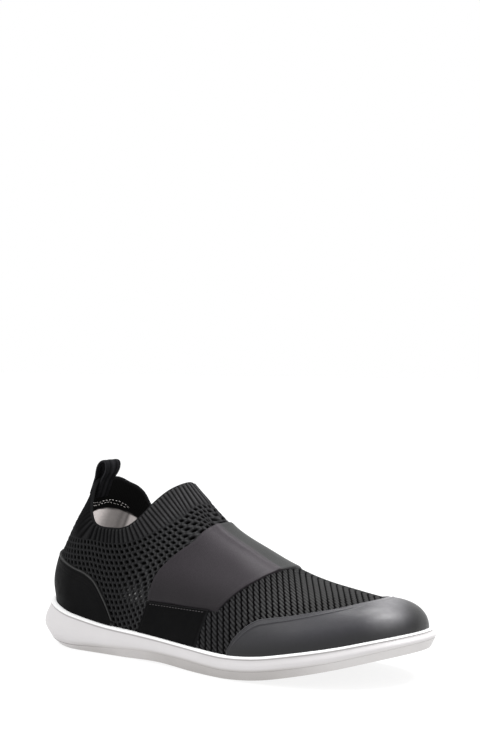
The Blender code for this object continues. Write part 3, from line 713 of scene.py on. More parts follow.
def make_tread():
    """Underside from the outer edge to the inner one, cut by flex grooves and ribs 3 mm apart."""
    u = np.linspace(0.0, np.pi, 321)
    s = np.linspace(0.0, 1.0, 57)[:, None, None]
    outer = ring(u, sole_lines(u)[2] - 1.0, 0.0)[None]
    inner = ring(2.0 * np.pi - u, sole_lines(u)[2] - 1.0, 0.0)[None]
    grid = outer * (1.0 - s) + inner * s
    x, share = grid[..., 0], np.broadcast_to(s[..., 0], grid.shape[:2])
    inset = np.minimum(share, 1.0 - share) * np.linalg.norm(inner - outer, axis=-1)
    cut = 0.35 * wave((x + 0.0025 * grid[..., 1] ** 2) / 3.0)
    half = GROOVE_WIDTH / 2.0
    for place in GROOVES:
        near = np.abs(x - place * LAST_LENGTH)
        cut = np.maximum(cut, GROOVE_DEPTH * ramp(near, half + 0.3, half - 0.5))
    grid[..., 2] = tread_height(x) + arch_lift(x, 2.0 * share - 1.0) + cut * ramp(inset, 4.0, 6.5)
    # Painted shade: the tread is darker in its grooves, the more the deeper they are.
    return surface("outsole_tread", grid, mix(srgb("c8c4c2"), srgb("9a9693"), cut / GROOVE_DEPTH))


rubber = material("sole_rubber", 0.55, (70.0, 0.94, 1.0),
                  [(grain, 0.04, 0.5, 1200.0), (grain, 0.2, 0.2, 90.0)], specular=0.25)
dress(make_band(), rubber, "tread_rubber", "outsole")
dress(make_tread(), rubber, "tread_rubber", "outsole")

# Insole
# Foam footbed under dark cloth, loose inside the shoe. Its solid keeps its shape.

footbed, tree, shader = finish("footbed_cloth", 0.95, specular=0.1)
speck = node(tree, "MapRange", [("Value", grain(tree, 700.0)), ("To Min", 0.008),
                                ("To Max", 0.035)]).outputs[0]
tone = node(tree, "CombineColor", [("Red", speck), ("Green", speck), ("Blue", speck)]).outputs[0]
tree.links.new(tone, shader.inputs["Base Color"])
bumps(tree, shader, [(grain, 0.25, 0.7, 700.0)])
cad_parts["insole"].data.materials.clear()
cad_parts["insole"].data.materials.append(footbed)

# Knit
# The upper is one flat-knitted black piece. Ribs run from the collar's edge down to a band line,
# below it lies a mesh of staggered holes with slanting yarns between them, and the vamp has ribs
# across it with slanting strands.

RIB_PITCH = 2.9
MESH_PITCH = (4.04, 3.8)
SEAM_FOOT = 140.0        # place at the rim of the seam between quarters and vamp, under the strap
SEAM_TOP = 167.0         # its place at the crest
VAMP_LOW = ((140.0, 175.0, 183.0, 192.0, 205.0, 218.0, 230.0, 245.0, 253.0, 262.0),
            (0.0, 0.0, 20.5, 29.5, 35.0, 37.5, 39.0, 40.5, 42.5, 44.5))
BAND_LINE = ((0.0, 49.3, 63.0, 76.0, 88.5, 97.4, 106.0, 114.0, 123.0, 134.0, 170.0),
             (77.2, 77.2, 75.9, 76.5, 79.8, 83.9, 88.6, 93.2, 98.4, 104.4, 124.0))


def collar_edge(side):
    """Points of the collar's edge from the heel to the peak and their distance from the peak."""
    x, z = collar_line((1.0 - np.cos(np.linspace(0.0, np.pi, 801))) / 2.0, side)
    edge = skin(x, z, side)
    run = arc_lengths(edge, 0)
    return edge[::-1], (run[-1] - run)[::-1]


def past_heel(run):
    """How far ahead of the heel's back a length round the heel reaches."""
    bend = np.minimum(run, HEEL_RADIUS * np.pi / 2.0) / HEEL_RADIUS
    return HEEL_RADIUS * (1.0 - np.cos(bend) - bend) + run


def quarter_grid(side, columns, rows):
    """Quarter from the rim up to the collar and, ahead of it, to the crest under the strap."""
    run = np.linspace(0.0, HEEL_RADIUS * (np.pi / 2.0 - 1.0) + SEAM_FOOT, columns)
    v = past_heel(run) / SEAM_FOOT
    split = v[int(np.searchsorted(v, 0.66))]
    v, w = np.meshgrid(v, np.linspace(0.0, 1.0, rows))
    near_crest = ramp(v, split - 0.22, split + 0.03)
    w = w * (1.0 - near_crest) + (1.0 - (1.0 - w) ** 2) * near_crest

    def top(v):
        collar_x, collar_z = collar_line(np.minimum(v / split, 1.0), side)
        ahead = np.clip((v - split) / (1.0 - split), 0.0, 1.0)
        crest_x = PEAK_PLACE + (SEAM_TOP - PEAK_PLACE) * ahead
        return (np.where(v <= split, collar_x, crest_x),
                np.where(v <= split, collar_z, crest_height(crest_x)))

    seam = (SEAM_FOOT, rim_height(SEAM_FOOT)), (SEAM_TOP, crest_height(SEAM_TOP))
    x, z = coons(v, w, lambda v: rim_line(v, SEAM_FOOT), top, lambda w: heel_line(w, HEEL_HEIGHT),
                 lambda w: straight(w, *seam))
    return skin(x, z, side), v, w, split


def nearest(points, line, run):
    """Distance from a line of points, and the length along it at the nearest point."""
    flat = points.reshape(-1, 3)
    near = np.empty(len(flat), int)
    for start in range(0, len(flat), 4000):
        part = flat[start:start + 4000]
        near[start:start + 4000] = ((line**2).sum(-1)[None] - 2.0 * part @ line.T).argmin(axis=1)
    tangent = unit(np.gradient(line, axis=0))
    offset = flat - line[near]
    slip = np.clip((offset * tangent[near]).sum(-1), -0.5, 0.5)
    apart = np.linalg.norm(offset - slip[:, None] * tangent[near], axis=1)
    return apart.reshape(points.shape[:2]), (run[near] + slip).reshape(points.shape[:2])


def round_heel(x, z):
    """Length round the heel from its back."""
    ahead = np.maximum(x - heel_back(z), 0.0)
    bend = HEEL_RADIUS * np.arccos(1.0 - np.minimum(ahead, HEEL_RADIUS) / HEEL_RADIUS)
    return bend + np.maximum(ahead - HEEL_RADIUS, 0.0)


def band_line(x, side):
    """Height of the line where the ribs end; it bulges up on the inner side."""
    bulge = (side > 0) * 4.0 * np.sin(np.pi * np.clip((x - 35.0) / 75.0, 0.0, 1.0)) ** 2
    return np.interp(x, *BAND_LINE) + bulge


def mesh_cells(grid, side):
    """Offsets within the mesh's cells, along and across their row, and the depth below the ribs."""
    x, z = grid[..., 0], grid[..., 2]
    run = round_heel(x, z) + heel_back(z) * ramp(np.maximum(x - heel_back(z), 0.0), 0.0, 65.0)
    down = band_line(x, side) - z
    front = 126.0 - 66.0 * np.linspace(0.0, 1.0, 500) ** 2
    height = band_line(front, side)
    height = height + (crest_height(front) - height) * ramp(front, 117.0, 126.0)
    line = np.concatenate([skin(front[1:], height[1:], -side)[::-1], skin(front, height, side)])
    length = arc_lengths(line, 0)
    even = np.linspace(0.0, length[-1], 801)
    line = relaxed(pick(even, length, line), 250)
    length = even - even[400]
    apart, from_crest = nearest(grid, line, length)
    near_side = line[:399:-1]
    below = np.sign(np.interp(x, near_side[:, 0], near_side[:, 2]) - z)
    below = np.where(x > line[400, 0], 1.0, below)
    bend = ramp(x, 66.0, 102.0) * ramp(apart, 46.0, 14.0)
    down = down * (1.0 - bend) + apart * below * bend
    meet = HEEL_RADIUS * (np.pi / 2.0 - 1.0) + 86.0
    meet = meet + np.interp(86.0, near_side[:, 0], length[:399:-1])
    run = run * (1.0 - bend) + (meet - from_crest) * bend
    rows = down / MESH_PITCH[1]
    row = np.floor(rows)
    across = run / MESH_PITCH[0] + 0.5 * (row % 2.0)
    return across - np.round(across), rows - row - 0.5, down


def make_quarter(name, side):
    grid, v, w, split = quarter_grid(side, 401, 235)
    x, z = grid[..., 0], grid[..., 2]
    out = normals(grid) * -side
    for border in (out[:, 0], out[-1, v[-1] > split]):
        border[..., 1] = 0.0
        border /= np.linalg.norm(border, axis=-1, keepdims=True)
    below, place = nearest(grid, *collar_edge(side))
    a, b, down = mesh_cells(grid, side)
    ribbed = ramp(down, 0.5, -0.6) * ramp(below, 25.0, 14.0)
    plain_heel = ramp(x - heel_back(z), 9.0, 3.0)
    plain_rib = ramp(x - heel_back(z), 30.0, 16.0)
    rib = wave(place / RIB_PITCH) * (1.0 - 0.92 * plain_rib)
    slanted = a - 0.42 * b
    hole = ramp(np.hypot(slanted / 0.29, b / 0.29), 1.15, 0.75)
    hole = hole * ramp(down, 0.4, 1.2) * (1.0 - ribbed) * (1.0 - 0.75 * plain_heel)
    strand = 0.9 * bell(np.abs(slanted), 0.5, 0.13) * ramp(np.abs(b), 0.55, 0.15)
    bar = 0.75 * ramp(np.abs(b), 0.30, 0.46) * (0.1 + 0.9 * wave(2.0 * a))
    strand = np.maximum(strand, bar) * (1.0 - ribbed) * (1.0 - 0.6 * plain_heel)
    edge_fade = ramp(below, 0.0, 1.4) * ramp(w, 0.0, 0.01)
    lift = ribbed * 0.75 * rib**0.7 - 1.15 * hole + 0.40 * strand + 0.12 * wave(b) * (1.0 - ribbed)
    trough = bell(x, 62.0 + 0.35 * (z - 40.0), 9.0) * ramp(z, 30.0, 45.0) * ramp(z, 80.0, 60.0)
    grid = grid + out * (lift * edge_fade + 0.12 - 0.5 * trough)[..., None]
    # Painted light and shade: the knit lighter towards the strap where more light falls, its raised
    # strands lighter as painted highlight, its holes near black as painted shade; the ribs dark in
    # their valleys and light on their crests, and lighter towards the front.
    lit_towards_strap = ramp(x, 70.0, 112.0)
    tint = painted(srgb("222223"), ("2c2c2d", lit_towards_strap),
                   ("565657", strand * (0.46 + 0.40 * lit_towards_strap)), ("030303", hole))
    ribs = painted(srgb("525253"), ("2c2c2d", ramp(place, 25.0, 75.0)))
    ribs = painted(mix(srgb("0b0b0c"), ribs, rib**0.8), ("161617", 0.9 * plain_rib))
    tint = mix(tint, ribs, ribbed)
    # Painted light: a few holes on the outer side are painted pale, as light showing through them.
    if side < 0:
        light_through_spot = bell(x, 90.0, 8.0) * bell(z, 43.0, 4.0)
        through = ramp(np.hypot(slanted / 0.30, b / 0.30), 0.8, 0.35) * light_through_spot
        tint = painted(tint, ("b9b9b9", through))
    return surface(name, grid, tint, np.stack([x, z], axis=-1), turned=side > 0)


def vamp_grid(columns, rows):
    """Vamp from under the strap to under the toe cap; t runs over the crest, w ahead."""
    t, w = np.meshgrid(np.linspace(-1.0, 1.0, columns), np.linspace(0.0, 1.0, rows))
    up = 1.0 - t**2
    foot_x = SEAM_FOOT + 122.0 * w
    low = np.maximum(np.interp(foot_x, *VAMP_LOW), rim_height(foot_x))
    x = foot_x + (SEAM_TOP - SEAM_FOOT) * (1.0 - w) * up
    z = low + (crest_height(x) - low) * up
    return skin(x, z, np.where(t < 0.0, -1.0, 1.0)), t, w


def make_vamp():
    grid, t, w = vamp_grid(365, 250)
    grid = grid.transpose(1, 0, 2)
    t, w = t.T, w.T
    x, y, z = grid[..., 0], grid[..., 1], grid[..., 2]
    out = upward_normals(grid)
    middle = BALL_WIDTH * along(SECTIONS, "ridge", x)
    bow = np.sqrt((y - middle - 13.0) ** 2 + 20.0)
    rib = (x - 0.727 * bow) / 4.55
    ahead = np.abs(rib - np.round(rib))
    valley = ramp(ahead, 0.21, 0.05)
    around = arc_lengths(grid, 0)
    around = np.abs(around - around[len(around) // 2])
    strand = np.cos(2.0 * np.pi * (around / 3.2 - 0.95 * rib))
    plain = ramp(x - 0.6 * np.abs(y - middle), 190.0, 206.0)
    hole = ramp(strand, -0.35, -0.85) * ramp(ahead, 0.30, 0.12) * (1.0 - plain)
    edge = np.interp(x, (183.0, 192.0, 205.0, 230.0, 250.0, 262.0),
                     (30.0, 38.0, 43.0, 47.0, 50.0, 56.0))
    deep = ramp(z - edge, 7.0, 1.0) * (x > 176.0)
    hole = np.maximum(hole, deep * ramp(strand, 0.1, -0.6) * ramp(ahead, 0.34, 0.16))
    height = 0.42 * (1.0 - valley) - 0.85 * hole
    height = height + 0.22 * np.maximum(strand, -0.4) * (1.0 - 0.85 * plain)
    grid = grid + out * (height * ramp(w, 0.0, 0.01) + 0.1)[..., None]
    # Painted shade and highlight: dark in the rib valleys and near black in the holes, light on the
    # strand crests, and lighter towards the toe where more light falls.
    relief_light = (1.0 - valley) * (0.62 + 0.38 * strand * (1.0 - 0.6 * plain))
    ribs = painted(srgb("424243"), ("5a5a5a", ramp(x, 168.0, 212.0)))
    tint = painted(mix(srgb("0a0a0b"), ribs, np.clip(relief_light, 0.0, 1.0)), ("020202", hole))
    return surface("knit_vamp", grid, tint, np.stack([x, around], axis=-1), turned=True)


yarn = material("knit_yarn", 0.9, (1500.0, 0.72, 1.25), [(grain, 0.22, 0.8, 2600.0, 4.0)],
                specular=0.02)
dress(make_quarter("knit_quarter_outer", -1), yarn, "knit", "upper")
dress(make_quarter("knit_quarter_inner", 1), yarn, "knit", "upper")
dress(make_vamp(), yarn, "knit", "upper")

# Lining
# Black knit folded over the collar's edge and glued inside, with a pale suede patch round the heel
# that two rows of white stitches hold.

LINING_TOP = ((0.0, 4.5, 10.0, 15.7, 26.5, 35.0, 43.7, 50.0, 56.0, 60.0, 64.0, 66.0),
              (91.5, 94.5, 95.4, 95.6, 94.4, 92.1, 88.7, 84.0, 74.0, 60.0, 40.0, 30.0))
STITCH_ROWS = (((0.0, 10.0, 16.4, 24.2, 31.6, 35.5), (99.7, 101.3, 101.5, 100.1, 97.3, 94.4)),
               ((0.0, 8.2, 14.6, 26.6, 32.7), (97.5, 99.3, 100.0, 97.4, 95.1)))


def make_lining():
    u = angles(420)
    grid = upper_face(*np.meshgrid(u, np.linspace(0.0, 1.0, 76)))
    across = np.roll(grid, -1, axis=1) - np.roll(grid, 1, axis=1)
    out = unit(np.cross(across, np.gradient(grid, axis=0)))
    run = round_heel(grid[..., 0], grid[..., 2])
    top = np.interp(run, *LINING_TOP, right=0.0)
    pale = ramp(grid[..., 2] - top, 0.7, -0.3)
    wall = grid - out * (KNIT_WALL - 0.8 * pale * ramp(grid[..., 2] - top, 0.5, -2.5))[..., None]
    rise = unit(np.cross(out[-1], np.gradient(grid[-1], axis=0)))
    bend = np.linspace(0.0, np.pi, 9)[:, None, None]
    thick = KNIT_WALL / 2.0 + 0.05
    roll = np.cos(bend) * out[-1] + np.sin(bend) * rise
    roll = grid[-1] - out[-1] * (thick - 0.1) + thick * roll
    foot = ring(u, -KNIT_WALL, floor_height(feather(u)[0]))[None]
    points = np.concatenate([roll, wall[-2::-1], foot])
    # Painted light and shade on the pale patch: light and dark vertical bands across its folds.
    folds = (0.0, 9.0, 13.0, 17.0, 21.0, 28.0, 31.0, 34.0, 36.5, 39.0, 60.0)
    shade = (0.86, 0.84, 0.70, 0.44, 0.27, 0.22, 0.15, 0.22, 0.12, 0.50, 0.55)
    warm = np.array([1.0, 0.93, 0.91])
    lit = np.interp(run[::-1], folds, shade)[..., None] * warm
    knitted = mix(srgb("0b0b0b"), srgb("161616"), 0.5 + 0.5 * np.cos(run[::-1] * 4.2))
    wall_tint = mix(knitted, lit, pale[::-1])
    tint = np.concatenate([np.broadcast_to(srgb("1a1a1b"), (9, len(u), 3)), wall_tint])
    return surface("collar_lining", points, tint, wrap=True)


def make_lining_stitches():
    rows = []
    for places, heights in STITCH_ROWS:
        run = np.linspace(0.0, places[-1], 60)
        z = np.interp(run, places, heights)
        x = heel_back(z) + past_heel(run)
        for side in (-1.0, 1.0):
            flat = np.stack([skin(x, z + rise, side) for rise in (-0.5, 0.0, 0.5)])
            inward = np.cross(np.gradient(flat, axis=1)[1], np.gradient(flat, axis=0)[1]) * side
            inward = unit(inward)
            rows.append(stitch_row(flat[1] + inward * (KNIT_WALL + 0.1), inward, 2.5, 1.5, 0.32))
    return patchwork("lining_stitches", *joined(rows), srgb("f0ecea", 1.0)[None])


suede = material("lining_cloth", 0.9, (500.0, 0.85, 1.1), [(grain, 0.15, 0.6, 1800.0)],
                 specular=0.03)
shader = suede.node_tree.nodes["Principled BSDF"]
# Painted light: the lining glows with its own tint, so its pale patch looks lit inside the heel.
glow = node(suede.node_tree, "Attribute", attribute_name="tint")
suede.node_tree.links.new(glow.outputs["Color"], shader.inputs["Emission Color"])
shader.inputs["Emission Strength"].default_value = 0.5
dress(make_lining(), suede, "knit", "upper")
thread = material("white_thread", 0.7, (2000.0, 0.85, 1.0), [(grain, 0.08, 0.6, 3000.0)])
dress(make_lining_stitches(), thread, "knit")


def border_distances(grid):
    """Distance of each point to the grid's left, right, lower and upper border along its lines."""
    across, up = arc_lengths(grid, 1), arc_lengths(grid, 0)
    return across, across[:, -1:] - across, up, up[-1:] - up


def fine_ends(count, near=0.012):
    """Places from 0 to 1, closer together at both ends."""
    ends = np.array([0.0, 0.12, 0.3, 0.6, 1.0, 1.6]) * near
    middle = np.linspace(near * 2.4, 1.0 - near * 2.4, count)
    return np.concatenate([ends, middle, 1.0 - ends[::-1]])


def rounded_edge(distance, radius):
    """Height of a quarter-round edge, 0 at the border and 1 from the radius on."""
    return np.sqrt(1.0 - (1.0 - np.clip(distance / radius, 0.0, 1.0)) ** 2)


def sewn(grid, thickness, radius):
    """Normals and lift of a flat piece sewn on the upper, and distances inside its borders.

    These are from the nearest open border, the nearer end, the lower and the upper border.
    """
    left, right, low, high = border_distances(grid)
    ends = np.minimum(left, right)
    inside = np.minimum(ends, high)
    lift = LAP + thickness * rounded_edge(inside, radius) - 1.0 * ramp(inside, 0.25, 0.0)
    return normals(grid), lift, inside, ends, low, high


def lifted(grid, out, lift):
    """Grid moved outwards by the lift, its lowest row a little deeper into the sole."""
    grid = grid + out * lift[..., None]
    grid[0, :, 2] -= 0.6
    return grid


# Toe cap
# One piece of soft synthetic leather stretched over the toe and glued into the sole. A raised line
# follows its upper edge, which is cut raw.

LEATHER = 1.3
Edge = namedtuple("Edge", "along up")
CAP_EDGE = [Edge(*row) for row in (
    (0.632, 0.03), (0.647, 0.19), (0.662, 0.30), (0.692, 0.46), (0.725, 0.53),
    (0.770, 0.60), (0.815, 0.70), (0.866, 0.84), (0.894, 0.95), (0.910, 1.00),
)]


def cap_face(t, w):
    """Toe cap: t from -1 at its outer end to 1 at its inner end, w from the rim to its edge."""
    start, end = CAP_EDGE[0].along * LAST_LENGTH, CAP_EDGE[-1].along * LAST_LENGTH

    def edge(v):
        x = start + (end - start) * v
        foot = rim_height(x)
        return x, foot + (crest_height(x) - foot) * np.clip(along(CAP_EDGE, "up", x), 0.0, 1.0)

    def bottom(v):
        x = start + (LAST_LENGTH - start) * v
        return x, rim_height(x)

    x, z = coons(1.0 - t**2, w, bottom, edge, lambda w: straight(w, bottom(0.0), edge(0.0)),
                 lambda w: crest_line(w, LAST_LENGTH, end))
    return skin(x, z, np.where(t < 0.0, -1.0, 1.0))


def make_toe_cap():
    t = np.linspace(-1.0, 1.0, 301)
    t = t * (1.2 - 0.2 * t**2)
    w = np.concatenate([np.linspace(0.0, 0.93, 90), 0.93 + 0.07 * np.linspace(0.0, 1.0, 24)[1:]])
    grid = cap_face(*np.meshgrid(t, w))
    out, lift, inside, ends, low, high = sewn(grid, LEATHER, 0.9)
    lift = lift + 0.34 * bell(high, 4.2, 0.55) * ramp(ends, 4.0, 12.0)
    lift = lift - 0.12 * ramp(high, 4.2, 3.0) * ramp(high, 0.8, 1.6)
    grid = lifted(grid, out, lift)
    x, y, z = grid[..., 0], grid[..., 1], grid[..., 2]
    # Painted light and shade: a painted highlight on the toe's top, a little lighter towards the toe,
    # a painted highlight along the rounded edges, and painted shade towards the sole and at the inner
    # front end.
    forward = 0.81 * x + 0.59 * y
    painted_highlight = bell(forward, 215.0, 12.0) * ramp(z, 27.0, 44.0)
    tint = painted(srgb("2c2b30"), ("333238", ramp(x, 205.0, 240.0)), ("8e8d90", painted_highlight * 0.85),
                   ("58575b", ramp(inside, 1.1, 0.4)), ("0e0e10", ramp(low, 12.0, 0.5) * 0.8),
                   ("060607", ramp(forward, 222.0, 236.0) * 0.9))
    return surface("toe_cap_skin", grid, tint)


leather = material("toe_leather", 0.38, (320.0, 0.93, 1.06),
                   [(pebbles, 0.10, 0.35, 1100.0), (grain, 0.5, 0.10, 160.0)],
                   patches=(240.0, 0.34, 0.44), coat=0.12, specular=0.34)
dress(make_toe_cap(), leather, "toe_leather", "toe_cap")

# Heel counter
# A plain black piece of the same leather round the heel, closed by a seam up its back, with a
# rolled edge and two faint rows of stitching inside it.

COUNTER_HEIGHT = 33.0    # top of the counter above the rim at the heel's back
COUNTER_LENGTH = 72.0
Counter = namedtuple("Counter", "along rise")
COUNTER_EDGE = [Counter(*row) for row in (
    (0.00, 1.00), (0.25, 0.99), (0.45, 0.97), (0.62, 0.93), (0.74, 0.82), (0.84, 0.60),
    (0.92, 0.38), (1.00, 0.10),
)]


def counter_face(t, w):
    """Heel counter: t from -1 at its inner end round the heel to 1 at its outer end."""
    top = rim_height(0.0) + COUNTER_HEIGHT

    def edge(v):
        start = heel_back(top)
        height = rim_height(COUNTER_LENGTH * v) + COUNTER_HEIGHT * read(COUNTER_EDGE, "rise", v)
        return start + (COUNTER_LENGTH - start) * v, height

    x, z = coons(t**2, w, lambda v: rim_line(v, COUNTER_LENGTH), edge, lambda w: heel_line(w, top),
                 lambda w: straight(w, rim_line(1.0, COUNTER_LENGTH), edge(1.0)))
    return skin(x, z, np.where(t < 0.0, 1.0, -1.0))


def make_counter():
    t = np.linspace(-1.0, 1.0, 301)
    w = np.concatenate([np.linspace(0.0, 0.9, 60), 0.9 + 0.1 * np.linspace(0.0, 1.0, 22)[1:]])
    grid = counter_face(*np.meshgrid(t, w))
    out, lift, inside, _, low, _ = sewn(grid, LEATHER, 0.9)
    for height, place, width in ((0.30, 1.0, 0.7), (-0.28, 2.5, 0.4), (-0.16, 5.2, 0.35),
                                 (-0.16, 7.0, 0.35)):
        lift = lift + height * bell(inside, place, width)
    lift = lift - 0.45 * bell(grid[..., 1], 2.0, 0.5) * (grid[..., 0] < 12.0)
    # Painted shade a little darker towards the sole, and a painted highlight along the rolled edge.
    tint = painted(srgb("0b0b0c"), ("101011", ramp(low, 4.0, 25.0)),
                   ("4c4c4c", ramp(np.abs(inside - 0.7), 0.7, 0.25)))
    return surface("heel_counter_skin", lifted(grid, out, lift), tint)


dark = material("black_leather", 0.5, (400.0, 0.85, 1.15),
                [(pebbles, 0.10, 0.35, 1300.0), (grain, 0.6, 0.12, 120.0)],
                patches=(200.0, 0.48, 0.62), specular=0.04)
dress(make_counter(), dark, "black_leather", "heel_counter")

# Strap
# Wide satin-woven elastic over the instep, pulled flat between its ends, which are sewn under the
# side panels. A soft ridge runs along it where it turns over the crest.

ELASTIC = 1.3
PANEL_HEIGHT = 40.5
Strap = namedtuple("Strap", "up back front")
STRAP = [Strap(*row) for row in (
    (0.00, 0.364, 0.586), (0.20, 0.380, 0.604), (0.45, 0.424, 0.626), (0.70, 0.463, 0.648),
    (0.88, 0.477, 0.661), (1.00, 0.491, 0.672),
)]


def strap_face(t, w):
    """Strap: t from -1 at the outer panel over the crest to 1 at the inner one, w front to back."""
    side = np.where(t < 0.0, -1.0, 1.0)
    up = 1.0 - t**2
    back, front = read(STRAP, "back", up), read(STRAP, "front", up)
    x = LAST_LENGTH * (front + (back - front) * w)
    low = PANEL_HEIGHT + GAP
    return skin(x, low + (crest_height(x) - low) * up, side)


def make_strap():
    t, w = np.meshgrid(np.linspace(-1.02, 1.02, 301), fine_ends(92))
    grid = strap_face(np.clip(t, -0.9999, 0.9999), w)
    grid[..., 2] -= 40.0 * np.maximum(np.abs(t) - 1.0, 0.0)
    x, y, z = grid[..., 0], grid[..., 1], grid[..., 2]
    left, right, low, high = border_distances(grid)
    inside = np.minimum(low, high)
    lift = LAP + ELASTIC * rounded_edge(inside, 0.6) - 1.0 * ramp(inside, 0.2, 0.0)
    lift = lift * ramp(np.minimum(left, right), -1.5, 3.5)
    lift = lift + 0.9 * bell(y, -5.5, 2.6) - 0.15 * bell(y, 3.0, 5.0)
    lift = lift + 0.10 * bell(inside, 2.2, 0.8)
    lift = lift + 0.18 * np.sin(x * 0.16 + z * 0.10) * ramp(inside, 3.0, 14.0)
    # Painted light and shade: darker at the outer end as painted shade, lighter towards the ridge as
    # painted highlight, greyer beyond it as painted reflection on the flat top, and darker along both
    # edges as painted shade.
    tint = painted(srgb("262226"), ("363136", ramp(left, 4.0, 30.0)),
                   ("4b464b", ramp(y, -22.0, -7.0)), ("3c3d3d", ramp(y, -5.0, -1.0)),
                   ("2b282b", ramp(inside, 1.2, 0.2) * 0.6))
    grid = grid + upward_normals(grid) * lift[..., None]
    return surface("elastic_strap_cloth", grid, tint, np.stack([left, low], axis=-1), turned=True)


satin = material("satin_elastic", 0.45, (900.0, 0.90, 1.10),
                 [(woven, 0.10, 0.5, 0.9, "Y"), (woven, 0.06, 0.4, 0.7, "X"),
                  (grain, 0.08, 0.5, 1500.0)], specular=0.16)
dress(make_strap(), satin, "satin_elastic", "elastic_strap")

# Side panels
# Thin black leather at each side that covers the strap's sewn end and runs down into the sole, with
# a row of grey stitches just below its upper edge.

PANEL = 1.1
PANEL_FOOT = (0.337, 0.537)
PANEL_TOP = (0.367, 0.561)


def panel_face(t, w, side):
    """Side panel under the strap's end: t round the shoe, w from the rim up."""
    t = t if side < 0 else 1.0 - t
    foot = PANEL_FOOT[0] + (PANEL_FOOT[1] - PANEL_FOOT[0]) * t
    top = PANEL_TOP[0] + (PANEL_TOP[1] - PANEL_TOP[0]) * t
    x = LAST_LENGTH * (foot + (top - foot) * w)
    low = rim_height(x)
    return skin(x, low + (PANEL_HEIGHT - low) * w, side)


def make_panel(name, side):
    w = np.concatenate([np.linspace(0.0, 0.86, 40), 0.86 + 0.14 * fine_ends(8, 0.1)])
    grid = panel_face(*np.meshgrid(fine_ends(90), w), side)
    out, lift, inside, _, _, high = sewn(grid, PANEL, 0.8)
    lift = lift + 0.5 * ramp(high, 9.0, 2.0) - 0.18 * bell(inside, 1.9, 0.5)
    grid = lifted(grid, out, lift)
    # Painted highlight: the panel is lighter along its rounded edges.
    panel = surface(name, grid, painted(srgb("09090a"), ("222223", ramp(inside, 0.9, 0.3))))
    row = int(np.argmin(np.abs(high[:, 50] - 1.9)))
    path, out = grid[row, 8:-8], out[row, 8:-8]
    return panel, stitch_row(path + out * 0.05, out, 2.6, 1.8, 0.26)


for panel_name, panel_side in (("side_panel_lateral", -1), ("side_panel_medial", 1)):
    panel, seam = make_panel(panel_name + "_skin", panel_side)
    dress(panel, dark, "black_leather", panel_name)
    row = patchwork(panel_name + "_stitches", *seam, srgb("4a4648")[None])
    dress(row, thread, "black_leather")

# Pull loop
# Ribbed black webbing folded over the heel tab, its two ends sewn down outside and inside the
# collar.

LOOP_WIDTH = 16.0
LOOP_NECK = 12.5
LOOP_THICKNESS = 1.5
LOOP_INSET = 1.1         # clearance between the loop's inner tail and the upper's curved wall
LOOP_RISE = 13.3         # loop above the heel tab
LOOP_TAIL = 11.5         # webbing sewn on below the tab's edge
LOOP_BEND = 2.1          # forward bend of the loop's top, growing with the height squared
LOOP_WAIST = 0.55        # share of its rise at which the loop is widest
LOOP_SPREAD = 7.9        # between the loop's two legs where it is widest


def heel_spine(height):
    """Heel's back at heights from the tab's edge, bent forward above it, and its normals."""

    def line(height):
        above = np.maximum(height, 0.0)
        slope = heel_back(HEEL_HEIGHT) - heel_back(HEEL_HEIGHT - 1.0)
        forward = heel_back(HEEL_HEIGHT + np.minimum(height, 0.0)) + slope * above
        forward = forward + LOOP_BEND * (above / LOOP_RISE) ** 2
        return np.stack([forward, HEEL_HEIGHT + height], axis=-1)

    slope = unit(line(height + 0.5) - line(height - 0.5))
    return line(height), np.stack([-slope[:, 1], slope[:, 0]], axis=-1)


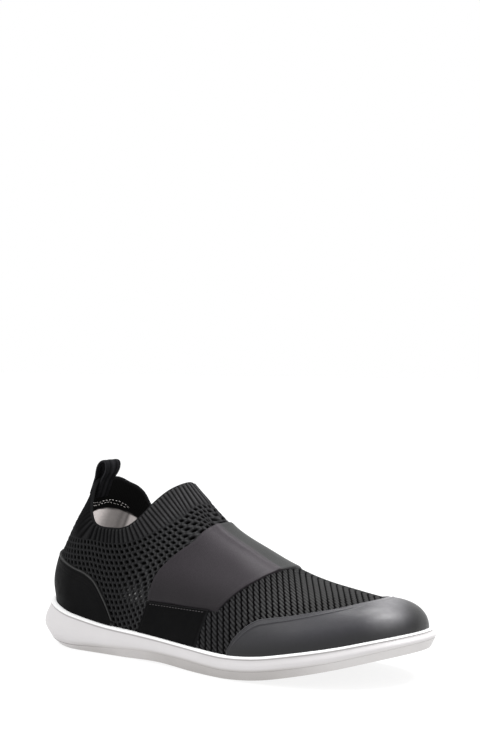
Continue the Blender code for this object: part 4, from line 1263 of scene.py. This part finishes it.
def loop_path():
    """Centre line of the pull loop seen from the side, from its outer tail over to its inner tail.

    It is laid out along and across the heel's slope at the tab's edge: two straight tails, legs
    that spread, and half an ellipse at the top. Also gives each point's width.
    """
    lean = LAP + LOOP_THICKNESS / 2.0
    near, far = lean, -(KNIT_WALL + lean + LOOP_INSET)
    centre, half = (near + far) / 2.0, (near - far) / 2.0
    belly = LOOP_SPREAD / 2.0
    waist = LOOP_WAIST * LOOP_RISE

    leg = np.linspace(0.0, 1.0, 9)
    swell = half + (belly - half) * leg**2 * (3.0 - 2.0 * leg)
    tail = np.linspace(-LOOP_TAIL, 0.0, 4)[:-1]
    turn = np.linspace(0.0, np.pi / 2.0, 7)[1:]
    height = np.concatenate([tail, waist * leg, waist + (LOOP_RISE - waist) * np.sin(turn)])
    spread = np.concatenate([np.full(len(tail), half), swell, belly * np.cos(turn)])
    height = np.concatenate([height, height[-2::-1]])
    spread = np.concatenate([spread, -spread[-2::-1]])
    spine, outward = heel_spine(height)
    place = spine + (centre + spread)[:, None] * outward
    share = np.clip(height / LOOP_RISE, 0.0, 1.0)
    return place, LOOP_NECK + (LOOP_WIDTH - LOOP_NECK) * share


def make_loop():
    """Closed strip: 72 points round its section and 160 sections along its path."""
    place, width = loop_path()
    run = arc_lengths(place, 0)
    even = np.linspace(0.0, run[-1], 160)
    place = relaxed(pick(even, run, place), 6)
    width = np.interp(even, run, width)
    tangent = unit(np.gradient(place, axis=0))
    normal = np.stack([-tangent[:, 1], tangent[:, 0]], axis=1)
    across, out = (np.sign(share) * np.abs(share) ** 0.35
                   for share in (np.cos(angles(72)), np.sin(angles(72))))
    rib = 0.10 * np.cos(across * 6.0 * 2.0 * np.pi) * np.abs(out)
    taper = np.sqrt(np.clip(np.minimum(even, even[-1] - even) / 0.8, 0.05, 1.0))[:, None]
    thick = (LOOP_THICKNESS / 2.0 * out + rib * np.sign(out)) * taper
    flat = place[:, None] + normal[:, None] * thick[..., None]
    middle = skin(heel_back(HEEL_HEIGHT), HEEL_HEIGHT, 1.0)[1]
    y = middle + across * width[:, None] / 2.0
    grid = np.stack([flat[..., 0], y, flat[..., 1]], axis=-1)
    # Painted light and shade: the webbing is light on its rib crests and dark between them.
    tint = painted(srgb("0e0e10"), ("303033", wave(across * 6.0) + 0.0 * y))
    return surface("pull_loop_webbing", grid, tint, np.stack([even[:, None] + 0.0 * y, y], axis=-1),
                   wrap=True)


webbing = material("webbing", 0.8, (900.0, 0.8, 1.2),
                   [(woven, 0.12, 0.6, 0.8, "X"), (grain, 0.08, 0.5, 2200.0)], specular=0.04)
dress(make_loop(), webbing, "webbing", "pull_loop")
